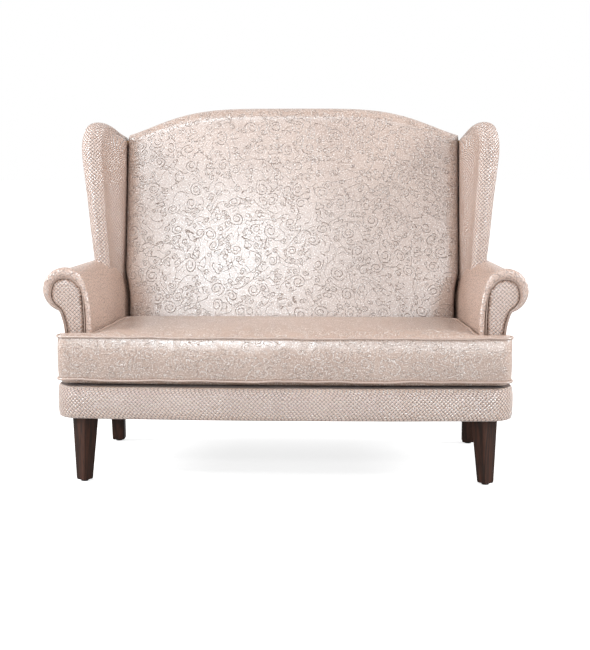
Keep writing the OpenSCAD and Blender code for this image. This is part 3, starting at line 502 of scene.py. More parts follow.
def leather(name, pattern, strong=1.0, bright=0.0):
    """Pearly leatherette: a warm base under a white gloss with pearl flecks, and the embossed pattern; the
    near-white colour of the flecks and glints is a painted highlight.
    strong deepens a weave, and bright paints more of a scroll's lines near-white as glints instead of darkening them
    as painted shade."""
    mat, net, shader = new_material(name, IOR=2.2, Specular_Tint=(0.8, 0.93, 1.0, 1.0))
    uv = net.node("ShaderNodeUVMap", uv_map="UVMap").outputs[0]
    tone = net.noise(uv, 5.0, 3.0)
    grain = net.noise(uv, 900.0, 2.0)
    fleck = net.noise(uv, 260.0, 1.0)
    # The scroll and plain leathers take a darker base than the weave and pebble ones: painted shade that tones down
    # the stronger lamp light on the back and cushion.
    if pattern in ("scroll", "plain"):
        light, deep = rgb(180, 153, 137), rgb(160, 132, 116)
    else:
        light, deep = rgb(203, 173, 156), rgb(180, 148, 131)
    mottle = net.add(net.mul(tone, 0.4), net.mul(net.noise(uv, 210.0, 1.0), 0.6))
    colour = net.mix(net.step(mottle, 0.36, 0.62), deep, light)
    spark, dull = net.step(fleck, 0.56, 0.66), 0.0
    if pattern == "scroll":
        line = dull = scroll_lines(net, uv)
        # Painted highlight and shade on the lines: part of each line is painted near-white as a glint, and the rest
        # is painted dark as shade in the groove.
        glint = net.mul(line, net.step(net.noise(uv, 150.0, 1.0), 0.52 - bright, 0.58 - bright))
        colour = net.mix(net.mul(line, 0.6 - 4 * bright), colour, rgb(86, 70, 62))
        spark = net.most(net.mul(spark, net.sub(1.0, line)), glint)
        height, depth, some = net.sub(1.0, line), 0.0018, 0.85
    elif pattern == "weave":
        height = basket(net, uv)
        # Painted shade: the grooves between the strands are coloured darker.
        colour = net.mix(net.step(height, 0.0, 0.6, 0.95, 0.0), colour, rgb(76, 55, 46))
        depth, some = 0.0018 * strong, 0.7
    elif pattern == "pebble":
        height = net.sub(1.0, net.voronoi(uv, 165.0)["Distance"])
        # Painted shade: the creases between the pebbles are coloured darker.
        colour = net.mix(net.step(height, 0.35, 0.62, 0.55, 0.0), colour, rgb(100, 76, 64))
        depth, some = 0.0022, 0.3
    else:
        height, depth, some = grain, 0.0002, 0.2
    # Painted highlight: the flecks and glints are coloured near-white.
    colour = net.mix(net.mul(spark, some), colour, rgb(240, 230, 224))
    rough = net.add(net.step(spark, 0.0, 1.0, 0.29, 0.2), net.mul(tone, 0.05))
    flecks = net.bump(fleck, 0.00022, 0.9, net.bump(grain, 0.0001, 0.5))
    finish(net, shader, Base_Color=colour, Roughness=net.most(rough, net.mul(dull, 0.7)),
           Normal=net.bump(height, depth, 0.9, flecks))
    return mat


def wood(name, dark, light, along, rough):
    """Wood whose grain runs along an axis."""
    mat, net, shader = new_material(name, IOR=1.32)
    place = net.place()
    squeeze = {"Z": (1, 1, 0.06), "X": (0.06, 1, 1)}[along]
    v = net.vector("MULTIPLY", place, squeeze)
    rings = net.noise(v, 95.0, 4.0, 0.6, 0.8)
    pores = net.noise(net.vector("MULTIPLY", v, squeeze), 900.0, 1.0)
    colour = net.mix(net.step(rings, 0.35, 0.68), dark, light)
    colour = net.mix(net.step(pores, 0.58, 0.7, 0.0, 0.6), colour, darker(dark, 0.45))
    finish(net, shader, Base_Color=colour, Roughness=net.step(rings, 0.3, 0.7, rough, rough + 0.15),
           Normal=net.bump(net.add(rings, pores), 0.0004, 0.4))
    return mat


def cloth(name, colour, pitch, rough=0.85, gap=0.35):
    """A plain woven cloth with its two sets of threads."""
    mat, net, shader = new_material(name, Roughness=rough, Sheen_Weight=0.2)
    place = net.place()
    x, y, z = net.split(place)
    across = net.math("SINE", net.mul(x, math.pi / pitch))
    down = net.math("SINE", net.mul(net.add(y, z), math.pi / pitch))
    height = net.most(net.math("ABSOLUTE", across), net.math("ABSOLUTE", down))
    tone = net.noise(place, 30.0, 3.0)
    # Painted shade: the gaps between the threads are coloured darker, mixed with a random tone.
    thread_tops_and_tone = net.step(net.add(height, net.mul(tone, 0.6)), 0.7, 1.3)
    finish(net, shader, Base_Color=net.mix(thread_tops_and_tone, darker(colour, 1 - gap), colour),
           Normal=net.bump(height, pitch * 0.3, 0.6))
    return mat


def foam(name, colour):
    """Foam or felt, with its open pores."""
    mat, net, shader = new_material(name, Roughness=0.9)
    place = net.place()
    pores = net.noise(place, 600.0, 2.0)
    finish(net, shader, Base_Color=net.mix(net.step(pores, 0.35, 0.65), darker(colour, 0.8), colour),
           Normal=net.bump(pores, 0.001, 0.6))
    return mat


def metal(name, colour, rough):
    mat, net, shader = new_material(name, Metallic=1.0)
    place = net.place()
    brushed = net.noise(net.vector("MULTIPLY", place, (1, 1, 0.1)), 900.0, 2.0)
    finish(net, shader, Base_Color=net.mix(brushed, darker(colour, 0.85), colour),
           Roughness=net.step(brushed, 0.3, 0.7, rough - 0.05, rough + 0.1))
    return mat


def plastic(name, colour):
    mat, net, shader = new_material(name, IOR=1.46)
    place = net.place()
    spark = net.noise(place, 1500.0, 1.0)
    finish(net, shader, Base_Color=net.mix(spark, darker(colour, 0.8), colour),
           Roughness=net.step(spark, 0.3, 0.7, 0.45, 0.6), Normal=net.bump(spark, 0.0002, 0.4))
    return mat


SCROLL = leather("leather_scroll", "scroll")
# The cushion's leather paints more of its scroll lines near-white as glints, a painted highlight.
SEAT = leather("leather_seat", "scroll", bright=0.07)
WEAVE = leather("leather_weave", "weave")
COARSE = leather("leather_coarse", "weave", 1.5)
FINE = leather("leather_fine", "weave", 0.55)
PEBBLE = leather("leather_pebble", "pebble")
PLAIN = leather("leather_plain", "plain")
WALNUT = wood("walnut_wood", rgb(33, 19, 13), rgb(68, 41, 30), "Z", 0.5)
BEECH = wood("beech_wood", rgb(176, 132, 88), rgb(208, 170, 122), "X", 0.55)
HESSIAN = cloth("hessian_cloth", rgb(176, 148, 100), 0.0022, 0.95, 0.5)
FELT = foam("felt_pad", rgb(206, 200, 188))
DECK = cloth("deck_weave", rgb(176, 156, 144), 0.0012, 0.85, 0.25)
# Painted shade: a dark brown cloth for the lip under the cushion and behind the arm facings' gap, standing in for
# the shade there.
GAP_SHADE = cloth("gap_shade_weave", rgb(88, 64, 52), 0.0012, 0.9, 0.3)
BLACK = cloth("black_weave", rgb(38, 38, 42), 0.0012, 0.9, 0.4)
STEEL = metal("zinc_metal", rgb(184, 186, 190), 0.35)
BRASS = metal("brass_metal", rgb(190, 160, 96), 0.3)
NYLON = plastic("black_nylon", rgb(52, 52, 55))
TAPE = cloth("tape_weave", rgb(168, 148, 138), 0.0008, 0.8, 0.3)
THREAD = cloth("thread_twist", rgb(206, 186, 174), 0.0006, 0.6, 0.2)


def give(ob, mat, body, nodes=(), smooth=0):
    """Material, subdivision, body and the CAD nodes that the piece stands for."""
    ob.data.materials.append(mat)
    if smooth:
        mod = ob.modifiers.new("smooth", "SUBSURF")
        mod.levels = mod.render_levels = smooth
    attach(ob, body)
    if nodes:
        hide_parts(*nodes)
    return ob


def both_sides(name, make, mat, nodes=(), smooth=0):
    """The right-hand piece and its mirror image. make(name, left) returns the object."""
    for side in ("left", "right"):
        ob = make(f"{name}_{side}", side == "left")
        give(ob, mat, "settee", [f"{n}_{side}" for n in nodes], smooth)


# ---- base

def base_outline(inset):
    """The base's outline drawn in by inset, the same number of points for every inset."""
    corner_x, corner_y = BASE_HALF - CORNER_R, FRONT_Y + BOW + CORNER_R
    x = corner_x * np.arange(40) / 40
    front = np.stack([x, FRONT_Y + inset + BOW * (x / corner_x) ** 2], 1)
    corner = arc(corner_x, corner_y, CORNER_R - inset, -90, 5, 16)
    last, rear_y = corner[-1], REAR_Y - inset
    end = np.array([last[0] - (rear_y - last[1]) * math.tan(TOE), rear_y])
    run = np.linspace(0, 1, 30)[1:, None]
    return both_halves(np.concatenate([front, corner, last + (end - last) * run, end + ([0, rear_y] - end) * run]))


def make_base():
    """The leather round the rails, and a dark lip over their tops, painted shade for the gap under the cushion. Rows
    are inset and height.
    """
    rows = [(16, 198.5), (9, 198.2), (4, 198.6), (1.3, 200.5), (0.2, 204), (-0.8, 212), (-1.6, 225), (-2.2, 245),
            (-2.2, 262), (-1.4, 277), (-0.6, 284), (0.4, 289.5), (1.8, 293.4), (3.4, 295.8), (6, 296.9), (8, 297)]
    lip = [(5.5, 296.7), (9, 297.2), (20, 297.4), (40, 298), (60, 299), (80, 300.2), (100, 300.6)]
    line = base_outline(0)
    n = outward(line)
    s = lengths(line, True)
    wave = 0.5 * np.sin(s[:-1] / 61) + 0.4 * np.sin(s[:-1] / 37 + 1)
    def ring(inset, z):
        at = base_outline(inset) if inset > 0 else line - n * inset
        return np.column_stack([at, np.full(len(at), z) + (wave * 0.35 if inset < 5 else 0)])
    ob = grid("base_cover", [ring(*row) for row in rows], closed=True)
    give(ob, COARSE, "settee", ["base_border"], 1)
    # The lip is dark brown, painted shade for the gap under the cushion.
    ob = grid("deck_lip_shade", [ring(*row) for row in lip], closed=True)
    give(ob, GAP_SHADE, "settee")


# ---- cushion

def cushion_side(y):
    """How far out the cushion reaches beside an arm."""
    return SCROLL_X - ARM_INNER - 1.5 - PIPING_R - (y - ARM_Y) * math.tan(TOE)


def cushion_outline():
    """The cushion's T in plan, with its ears in front of the arms."""
    half, ear_r, ear_rear_r, inner_r, rear_r, bow = 677.5, 31.0, 14, 12, 24, 15.0
    ear_x, front, ear_y = half - ear_r, FRONT_Y + 3 + PIPING_R, FRONT_Y + 77
    side, rear = cushion_side(ear_y + inner_r), cushion_side(CUSHION_REAR)
    x = ear_x * np.arange(60) / 60
    parts = [np.stack([x, front + bow * (x / ear_x) ** 2], 1),
             arc(ear_x, front + bow + ear_r, ear_r, -90, 0, 12),
             arc(half - ear_rear_r, ear_y - PIPING_R - ear_rear_r, ear_rear_r, 0, 90, 8),
             arc(side + inner_r, ear_y - PIPING_R + inner_r, inner_r, 270, 180, 6),
             np.array([[cushion_side(y), y] for y in np.linspace(ear_y + 18, CUSHION_REAR - 30, 30)]),
             arc(rear - rear_r, CUSHION_REAR - rear_r, rear_r, -5, 90, 8),
             np.array([[x, CUSHION_REAR] for x in np.linspace(rear - 32, 0, 40)])]
    return resample(both_halves(np.concatenate(parts)), 9, True)


# The boxing's rows that lie behind the zip, and how far out each stands there
ZIP_BED = {4: 0.6, 5: 0.4, 6: -0.3, 7: -5.0, 8: -0.3, 9: 0.4, 10: 0.6}
ZIP_HALF, TOOTH_PITCH = 442, 2.2


def make_cushion():
    """Crowned top and bottom panels with a boxing between them, swelled by the cloth, then piping and stitches."""
    line = cushion_outline()
    n = len(line)
    out = outward(line)
    s = lengths(line, True)[:-1]
    plan, tris, far = fill(line, 11)
    m = len(plan)
    sag = 1.4 * np.sin(s / 55) + 1.1 * np.sin(s / 31 + 2) + 0.8 * np.sin(s / 19)
    top = np.column_stack([plan, SEAM_TOP + 17 * (1 - np.exp(-far / 52))])
    low = np.column_stack([plan, SEAM_LOW - 17 * (1 - np.exp(-far / 9))])
    low[:n, 2] += sag * 0.8
    top[:n, 2] += 0.5 * sag[::-1]
    rows, crown, front_crown = 14, 2.5, 8
    bed = np.clip((out[:, 1] - 0.9) / 0.08, 0, 1) * np.clip((ZIP_HALF + 15 - np.abs(line[:, 0])) / 12, 0, 1)
    points = [top, low]
    faces = list(tris) + [[m + i for i in tri[::-1]] for tri in tris]
    uvs = [plan[i] for tri in tris for i in tri] + [plan[i] * [1, -1] for tri in tris for i in tri[::-1]]
    index = [m + np.arange(n)]
    for j in range(1, rows):
        t = j / rows
        bulge = (crown + front_crown * np.maximum(0, -out[:, 1]) ** 2) * (1 - (2 * t ** 1.15 - 1) ** 2)
        bulge += (ZIP_BED.get(j, bulge) - bulge) * bed
        ring = np.column_stack([line + out * bulge[:, None], low[:n, 2] + (top[:n, 2] - low[:n, 2]) * t])
        index.append(2 * m + (j - 1) * n + np.arange(n))
        points.append(ring)
    index.append(np.arange(n))
    around = np.append(s, s[-1] + 9)
    row_z = (SEAM_TOP - SEAM_LOW) * np.arange(rows + 1) / rows
    boxing, corners = grid_faces(rows + 1, n, True)
    number = np.concatenate(index).tolist()
    faces += [[number[i] for i in face] for face in boxing]
    uvs += [[around[i], row_z[j]] for face in corners for j, i in face]
    ob = new_object("seat_cushion", np.concatenate(points), faces, uvs)
    held = [2 * m + (j - 1) * n + np.flatnonzero(bed > 0) for j in ZIP_BED]
    puff(ob, np.concatenate([np.arange(n), m + np.arange(m)] + held), 2.0, 3.0, frames=16, slack=0.003)
    body = surface_points(ob)
    norm = surface_normals(ob)
    give(ob, SEAT, "seat_cushion", ["cushion_cover", "cushion_foam"], 1)
    for name, ring, row, node in (("welt_top", index[-1], index[-2], "cushion_piping_top"),
                                  ("welt_bottom", index[0], index[1], "cushion_piping_bottom")):
        path = body[ring] + np.column_stack([out * 1.5, np.zeros(n)])
        welt = tube(name, path, np.column_stack([out, np.zeros(n)]), PIPING_R * 0.85)
        give(welt, PLAIN, "seat_cushion", [node])
        near = body[row] * 0.8 + body[ring] * 0.2
        sewn = stitches(name.replace("welt", "stitches"), near, norm[row])
        give(sewn, THREAD, "seat_cushion")


def make_zip():
    """The zip's tape with a groove along its middle, and the teeth in it, clear of the slider."""
    z = (SEAM_LOW + SEAM_TOP) / 2
    half = [(13, -1.2), (12.5, 1.2), (6, 1.4), (2.2, 1.3), (1.8, -1.8)]
    section = [(-h, d) for h, d in half] + half[::-1]
    tape = grid("zip_cloth", [[[x, CUSHION_REAR + d, z + h] for x in np.linspace(-ZIP_HALF, ZIP_HALF, 91)]
                              for h, d in section])
    give(tape, TAPE, "seat_cushion", ["cushion_zip"])
    points, faces = [], []
    for k, x in enumerate(np.arange(-428, 441, TOOTH_PITCH)):
        lift = 0.9 if k % 2 else -0.9
        for dx in (-0.75, 0.75):
            for dy, dz in ((-1.6, -1.8), (-0.2, -1.2), (-0.2, 1.2), (-1.6, 1.8)):
                points.append([x + dx, CUSHION_REAR + dy, z + dz + lift])
        b = len(points) - 8
        faces += [[b, b + 1, b + 2, b + 3], [b + 7, b + 6, b + 5, b + 4]]
        faces += [[b + i, b + 4 + i, b + 4 + (i + 1) % 4, b + (i + 1) % 4] for i in range(4)]
    teeth = new_object("zip_teeth", points, faces, no_map(faces))
    give(teeth, BRASS, "seat_cushion")


# ---- back

def pad_half(z):
    """How far out the inside back reaches, between the arms and then the wings."""
    rise = np.clip(z - SCROLL_Z - SWEEP_Z, 0, SWEEP_R - 8)
    face = SCROLL_X + SWEEP_X - np.sqrt((SWEEP_R - 8) ** 2 - rise ** 2)
    gone = (back_y(z) - 76 - ARM_Y) * math.tan(TOE)
    return np.minimum(INSIDE_HALF, face - gone - 3)


# The inside back's fall towards its side: share of its half width, share of SIDE_FALL
SIDE_FALL = 50
SIDE_TABLE = [[0, 0], [0.15, 0], [0.3, 0.01], [0.42, 0.02], [0.54, 0.035], [0.66, 0.055], [0.77, 0.08],
              [0.86, 0.12], [0.92, 0.175], [0.965, 0.31], [0.99, 0.56], [1, 1]]


def make_inside_back():
    """The padded back in one sheet: face, roll over the top rail, and down behind it, with closed ends."""
    table = curve(SIDE_TABLE, np.linspace(0, 11, 58))
    shares = np.concatenate([np.column_stack([-table[::-1][:-1, 0], table[::-1][:-1, 1]]), table])
    columns = []
    for u, fall in shares:
        side_x = u * INSIDE_HALF
        top = camel(side_x)
        z = np.concatenate([[DECK_TOP + 1], np.linspace(DECK_TOP + 20, top - PAD_ROLL, 62)])
        corner = np.clip((570 - z) / 250, 0, 1) * np.clip((abs(u) - 0.84) / 0.16, 0, 1) ** 1.5
        swell = 3 * np.sin(np.pi * np.clip((z - 440) / 640, 0, 1)) * (1 - abs(u) ** 3)
        y = slope_y(z) + fall * SIDE_FALL + 34 * corner - swell
        face = np.column_stack([u * pad_half(z), y, z])
        a = np.radians(np.linspace(0, 90, 13))[1:]
        roll = np.column_stack([np.full(12, side_x), y[-1] + PAD_ROLL * (1 - np.cos(a)),
                                top - PAD_ROLL * (1 - np.sin(a))])
        rear_y = back_y(top) - 6
        over = np.linspace(roll[-1], [side_x, rear_y - PAD_REAR_ROLL, top], 5)[1:]
        b = np.radians(np.linspace(0, 90, 9))[1:]
        rear = np.column_stack([np.full(8, side_x), rear_y - PAD_REAR_ROLL * (1 - np.sin(b)),
                                top - PAD_REAR_ROLL * (1 - np.cos(b))])
        tuck = [[side_x, back_y(top - 45) - 7.5, top - 45]]
        columns.append(np.concatenate([face, roll, over, rear, tuck]))
    p = np.stack(columns, 1)
    for edge, at in ((0, 0), (-1, p.shape[1])):
        end = p[:, edge].copy()
        end[:, 1] = back_y(end[:, 2]) - 20
        halfway = (end + p[:, edge]) / 2
        extra = [end, halfway] if edge == 0 else [halfway, end]
        p = np.insert(p, [at, at], np.stack(extra, 1), 1)
    ob = grid("back_pad", p)
    m, n = p.shape[:2]
    ids = np.arange(m * n).reshape(m, n)
    held = np.concatenate([ids[:2].ravel(), ids[-15:].ravel(), ids[:, :4].ravel(), ids[:, -4:].ravel()])
    puff(ob, held, 0.8, 4.0, frames=12, slack=0.002)
    give(ob, SCROLL, "settee", ["inside_back", "back_foam"], 1)


def make_outside_back():
    """The panel that closes the back, drawn in the back's raked plane and filled."""
    x = np.linspace(BACK_HALF, -BACK_HALF, 90)
    top = np.column_stack([x, (camel(x) - PANEL_DROP - DECK_TOP) / math.cos(RAKE)])
    low = np.column_stack([-x, np.full(90, 1.0)])
    side = np.linspace(0, 1, 60)[1:-1, None]
    line = np.concatenate([top, top[-1] + (low[0] - top[-1]) * side, low, low[-1] + (top[0] - low[-1]) * side])
    line = counterclockwise(resample(line[::-1], 14, True))
    plan, tris, far = fill(line, 26)
    lift = -6 + 7.5 * (1 - np.exp(-far / 4.5)) + 3.0 * (1 - np.exp(-far / 120))
    y = REAR_Y + lift * math.cos(RAKE) + plan[:, 1] * math.sin(RAKE)
    z = DECK_TOP + plan[:, 1] * math.cos(RAKE) - lift * math.sin(RAKE)
    ob = filled("back_panel", np.column_stack([plan[:, 0], y, z]), tris, plan, True)
    give(ob, WEAVE, "settee", ["outside_back"], 1)


# ---- wings

# The wing's sections from its foot over the crest to the back: depth of the edge (0 front, 1 back), height of
# the edge, flare and radius of its roll, height of the root. BOARD_X is where the leather clears the wing board.
BOARD_X = 618
END_MIDDLE, END_BUMP = np.array([583.0, 0, 990.0]), 14.5
WING_ROWS = [[0.02, 0, 0, 0.73, 0], [0.02, 0.14, 0.07, 0.76, 0.12], [0.007, 0.32, 0.3, 0.82, 0.25],
             [0, 0.52, 0.53, 0.88, 0.37], [0.007, 0.71, 0.8, 0.95, 0.46], [0.027, 0.86, 1, 1, 0.52],
             [0.087, 0.95, 0.93, 0.985, 0.555], [0.195, 1, 0.7, 0.94, 0.58], [0.4, 0.99, 0.18, 0.86, 0.6],
             [0.67, 0.94, -0.45, 0.78, 0.615], [1, 0.908, -0.7, 0.68, 0.625]]


def bezier(a, b, c, d, n):
    t = np.linspace(0, 1, n)[:, None]
    a, b, c, d = (np.array(p) for p in (a, b, c, d))
    return (1 - t) ** 3 * a + 3 * t * (1 - t) ** 2 * b + 3 * t * t * (1 - t) * c + t ** 3 * d


def wing_sections():
    """Sections of the wing, each from the root up its outer side, round the roll and down its inner side.
    In a section, the first number is x and the second is the distance from the edge to the root."""
    sections = []
    for depth, height, flare, radius, root in curve(WING_ROWS, np.linspace(0, 10, 81)):
        root_z = WING_FOOT + (WING_CREST - WING_FOOT) * root
        root_y = back_y(root_z) + 20
        edge_y = WING_Y + (root_y - WING_Y) * depth
        edge_z = WING_FOOT + (WING_CREST - WING_FOOT) * height
        edge_x, r = WING_X + 30 * flare, 33 * radius
        outer_x, inner_x, root_x = edge_x + r, edge_x - r, INSIDE_HALF + 0.6
        to = np.array([root_y - edge_y, root_z - edge_z])
        far = np.linalg.norm(to)
        to /= far
        place = lambda s: (edge_y + to[0] * s, edge_z + to[1] * s)
        side = np.concatenate([
            [[BACK_HALF, far], [BACK_HALF, far * 0.95]],
            bezier([BACK_HALF, far * 0.9], [BACK_HALF, far * 0.6], [outer_x, far * 0.35], [outer_x, 0], 16)[:-1]])
        y, z = place(side[:, 1])
        board = BOARD_X - (y - WING_Y) * math.tan(TOE) + (z - WING_FOOT) * math.tan(BOARD_LEAN)
        side[:, 0] += 3 * np.log1p(np.exp((board - side[:, 0]) / 3)) * np.clip(side[:, 1] / 25, 0, 1)
        a = np.radians(np.linspace(0, 180, 21))
        roll = np.column_stack([edge_x + r * np.cos(a), -r * np.sin(a)])
        meet = far * (0.55 - 0.43 * min(1, max(0, (depth - 0.1) / 0.4)))
        inner = bezier([inner_x, 0], [inner_x, meet * 0.45], [root_x, meet * 0.55], [root_x, meet], 16)[1:]
        flat = np.concatenate([side, roll, inner, [[root_x, far * 0.75], [root_x, far]]])
        sections.append(np.column_stack([flat[:, 0], *place(flat[:, 1])]))
    return np.array(sections)


def make_wings():
    """The wings, closed at the back by an end that swells over the tip of the wing board."""
    p = wing_sections()
    kept_before_back(p, 1.0)
    rows = []
    for t in (0.02, 0.05, 0.09, 0.13, 0.2, 0.35, 0.6, 1.0):
        row = p[-1] * (1 - t) + END_MIDDLE * t
        high = np.exp(-(np.maximum(0, 1016 - row[:, 2]) / 22) ** 2)
        row[:, 1] = back_y(row[:, 2]) - 1 + END_BUMP * (1 - math.exp(-t / 0.045)) * high
        rows.append(row)
    p = np.concatenate([p, rows])
    # The outer face is a flat panel of its own up to the roll, as it is cut and sewn
    both_sides("wing_cover", grid_pair(p, panel=(-p[:, :, 1:], 80, 17)), WEAVE, ["wing"], 1)


# ---- arms

def arm_side(w, scroll_w=None, straight=10, sweep=14, scroll=56):
    """The arm's outline drawn in by w, and round the scroll by scroll_w of the angle: x out from the scroll's
    middle, z up. It runs from the seat up the inner side, over the scroll and back under it."""
    scroll_w = (lambda a: np.full_like(a, w)) if scroll_w is None else scroll_w
    z = np.linspace(DECK_TOP, SCROLL_Z + SWEEP_Z, straight + 1)[:-1]
    flat = np.column_stack([np.full(len(z), w - ARM_INNER), z])
    a = np.linspace(0, SWEEP_A, sweep + 1)[:-1]
    rise = np.column_stack([SWEEP_X - (SWEEP_R - w) * np.cos(a), SCROLL_Z + SWEEP_Z + (SWEEP_R - w) * np.sin(a)])
    b = np.linspace(SWEEP_A, math.radians(SCROLL_END), scroll + 1)
    r = SCROLL_R - scroll_w(b)
    roll = np.column_stack([-r * np.cos(b), SCROLL_Z + r * np.sin(b)])
    return np.concatenate([flat, rise, roll])


def place_arm(x, y, z):
    """From the arm's frame, x out from the scroll's middle and y back from its front, to the settee's."""
    c, s = math.cos(TOE), math.sin(TOE)
    return np.stack([SCROLL_X + x * c - y * s, ARM_Y + x * s + y * c, z], -1)


def make_arm_pads():
    line = arm_side(PAD_INSET)
    x, y = np.meshgrid(line[:, 0], np.linspace(30, ARM_L, 60))
    p = place_arm(x, y, np.broadcast_to(line[:, 1], x.shape))
    kept_before_back(p, 1.5)
    both_sides("arm_cover", grid_pair(p, inward=True), PEBBLE, ["arm_pad"], 1)


# The outer edge of the arm front below the scroll: x, z
OUTER_EDGE = [[13.0, 508.0], [8.5, 492.0], [4.0, 475.0], [1.0, 456.0], [1.0, 420.0], [1.0, 380.0], [1.0, 340.0],
              [1.0, 300.0]]


def border_lines():
    """The border's outer, inner and rear lines round the arm front, point for point."""
    knots = ([math.degrees(SWEEP_A), 90, 180, SCROLL_END], [24.0, 31.0, 25.0, 4.0])
    widths = lambda b: np.interp(np.degrees(b), *knots)
    outer = np.concatenate([arm_side(0.0), OUTER_EDGE])
    inner = np.concatenate([arm_side(17.0, widths), np.array(OUTER_EDGE) - [4.0, 0]])
    rear = np.concatenate([arm_side(PAD_INSET), np.array(OUTER_EDGE) - [2.0, 0]])
    return outer, inner, rear


# The border's section: share of the way from its outer to its inner line, share of BORDER_DEPTH behind the front.
# A share below 0 leads to the rear line.
BORDER_DEPTH = 40
ROLL_TABLE = [[-0.08, 1.0], [0, 0.62], [0, 0.45], [0.03, 0.22], [0.18, 0.06], [0.42, 0], [0.68, 0.01], [0.9, 0.09],
              [1, 0.24], [0.99, 0.5]]


def make_arm_borders():
    """The rolled border lofted round each arm front, gathered over the scroll."""
    outer, inner, rear = border_lines()
    section = curve(ROLL_TABLE, np.linspace(0, 9, 37))
    s = lengths(outer)
    gathers = 0.45 * np.sin(s / 3.4) * np.exp(-((s - 560) / 60) ** 2) + 0.2 * np.sin(s / 23)
    rows = []
    for o, i, r, gather in zip(outer, inner, rear, gathers):
        row = []
        for share, depth in section:
            q = o + (i - o) * share if share >= 0 else o + (r - o) * min(1, -share / 0.08)
            row.append([SCROLL_X + q[0], ARM_Y + BORDER_DEPTH * depth - (gather if depth < 0.3 else 0), q[1]])
        rows.append(row)
    both_sides("arm_roll", grid_pair(np.array(rows)), PEBBLE, ["arm_border"], 1)


def make_arm_facings():
    """The sunk club-shaped facing inside each border, with a dark sheet behind its gap as painted shade, and a cord
    round it.
    """
    _, inner, _ = border_lines()
    line = counterclockwise(resample(inner, 6, True))
    low = np.clip((560 - line[:, 1]) / 40, 0, 1) * (line[:, 0] < -25)
    room, cells, _ = fill(line + outward(line) * 1.5, 14)
    def at(plan, y):
        return np.column_stack([SCROLL_X + plan[:, 0], np.full(len(plan), ARM_Y) + y, plan[:, 1]])
    # A dark sheet behind the facing's gap, as painted shade.
    both_sides("arm_gap_shade", filled_pair(at(room, 14.5), cells, room), GAP_SHADE)
    line = line - outward(line) * (0.6 + 3.5 * low)[:, None]
    plan, tris, far = fill(line, 8)
    y = 13 - 8 * (1 - np.exp(-far / 4)) - 3 * (1 - np.exp(-far / 22))
    y += 12 * np.exp(-far / 1.5) * np.where((plan[:, 1] < 560) & (plan[:, 0] < -25), 1, 0.3)
    both_sides("arm_face", filled_pair(at(plan, y), tris, plan), FINE, ["arm_facing"], 1)
    edge = at(line, 9.0)
    def cord(name, left):
        return tube(name, mirrored(edge) if left else edge, [[0.0, -1.0, 0.0]] * len(edge), 2.1, 8)
    both_sides("arm_welt", cord, PLAIN)


def make_outside_arms():
    """The panel under each scroll. At the front it comes out to meet the border where that flares to the scroll."""
    z = np.concatenate([DECK_TOP + np.array([0.5, 2, 5]), np.linspace(DECK_TOP + 12, 504, 20), [512, 518, 522]])
    edge = np.minimum(z - DECK_TOP, 526 - z)
    bulge = 3.5 * (1 - np.exp(-edge / 25)) - 4 * np.exp(-edge / 1.5)
    x, y = np.meshgrid(1 + bulge, np.linspace(24, ARM_L, 50))
    neck = np.interp(z, [456, 475, 492, 508, 522], [-0.5, 2.5, 7, 11.5, 15]) - 1 - bulge
    near = np.clip((80 - y) / 40, 0, 1)
    x += np.maximum(0, neck) * near * near * (3 - 2 * near)
    p = place_arm(x, y, np.broadcast_to(z, x.shape))
    kept_before_back(p, 1.5)
    both_sides("arm_panel", grid_pair(p), WEAVE, ["outside_arm"], 1)


def make_arm_ends():
    """The closed rear end of each arm, beside the outside back."""
    line = np.concatenate([arm_side(PAD_INSET, None, 6, 8, 40), [[1, 510], [1, 400], [1, 300]]])
    line = counterclockwise(resample(line, 8, True))
    plan, tris, far = fill(line, 14)
    rear = (back_y(plan[:, 1]) - ARM_Y) / math.cos(TOE) - plan[:, 0] * math.tan(TOE)
    p = place_arm(plan[:, 0], rear, plan[:, 1])
    p[:, 1] += -5 + 4 * (1 - np.exp(-far / 3))
    both_sides("arm_end", filled_pair(p, tris, plan, rear=True), WEAVE)


# ---- inner cloths and the underside

def flat_piece(name, line, z, mat, nodes, step, dip=0.0, thick=0.0, under=False):
    """A level sheet within an outline, dipping in its middle. under turns it to face down."""
    plan, tris, far = fill(resample(line, step * 0.6, True), step)
    points = np.column_stack([plan, z + dip * (1 - np.exp(-far / 150))])
    ob = filled(name, points, tris, plan, under)
    if thick:
        mod = ob.modifiers.new("thick", "SOLIDIFY")
        mod.thickness = thick / 1000
        mod.offset = -1
    return give(ob, mat, "settee", nodes)


def make_inner():
    seat = np.array([[-610, -330], [610, -330], [640, -280], [598, 276], [-598, 276], [-640, -280]], float)
    flat_piece("seat_cloth", base_outline(90), 300.2, DECK, ["seat_deck"], 40, 0.5)
    flat_piece("hessian_sheet", seat, 291, HESSIAN, ["seat_hessian"], 60, -1.0, 1.0)
    flat_piece("felt_sheet", seat, 295.6, FELT, ["seat_felt"], 60, 0, 3.0)
    line = base_outline(12)
    under = flat_piece("bottom_cloth", line, 198.3, BLACK, ["dust_cover"], 40, -1.5, 0.0, True)
    web_straps()


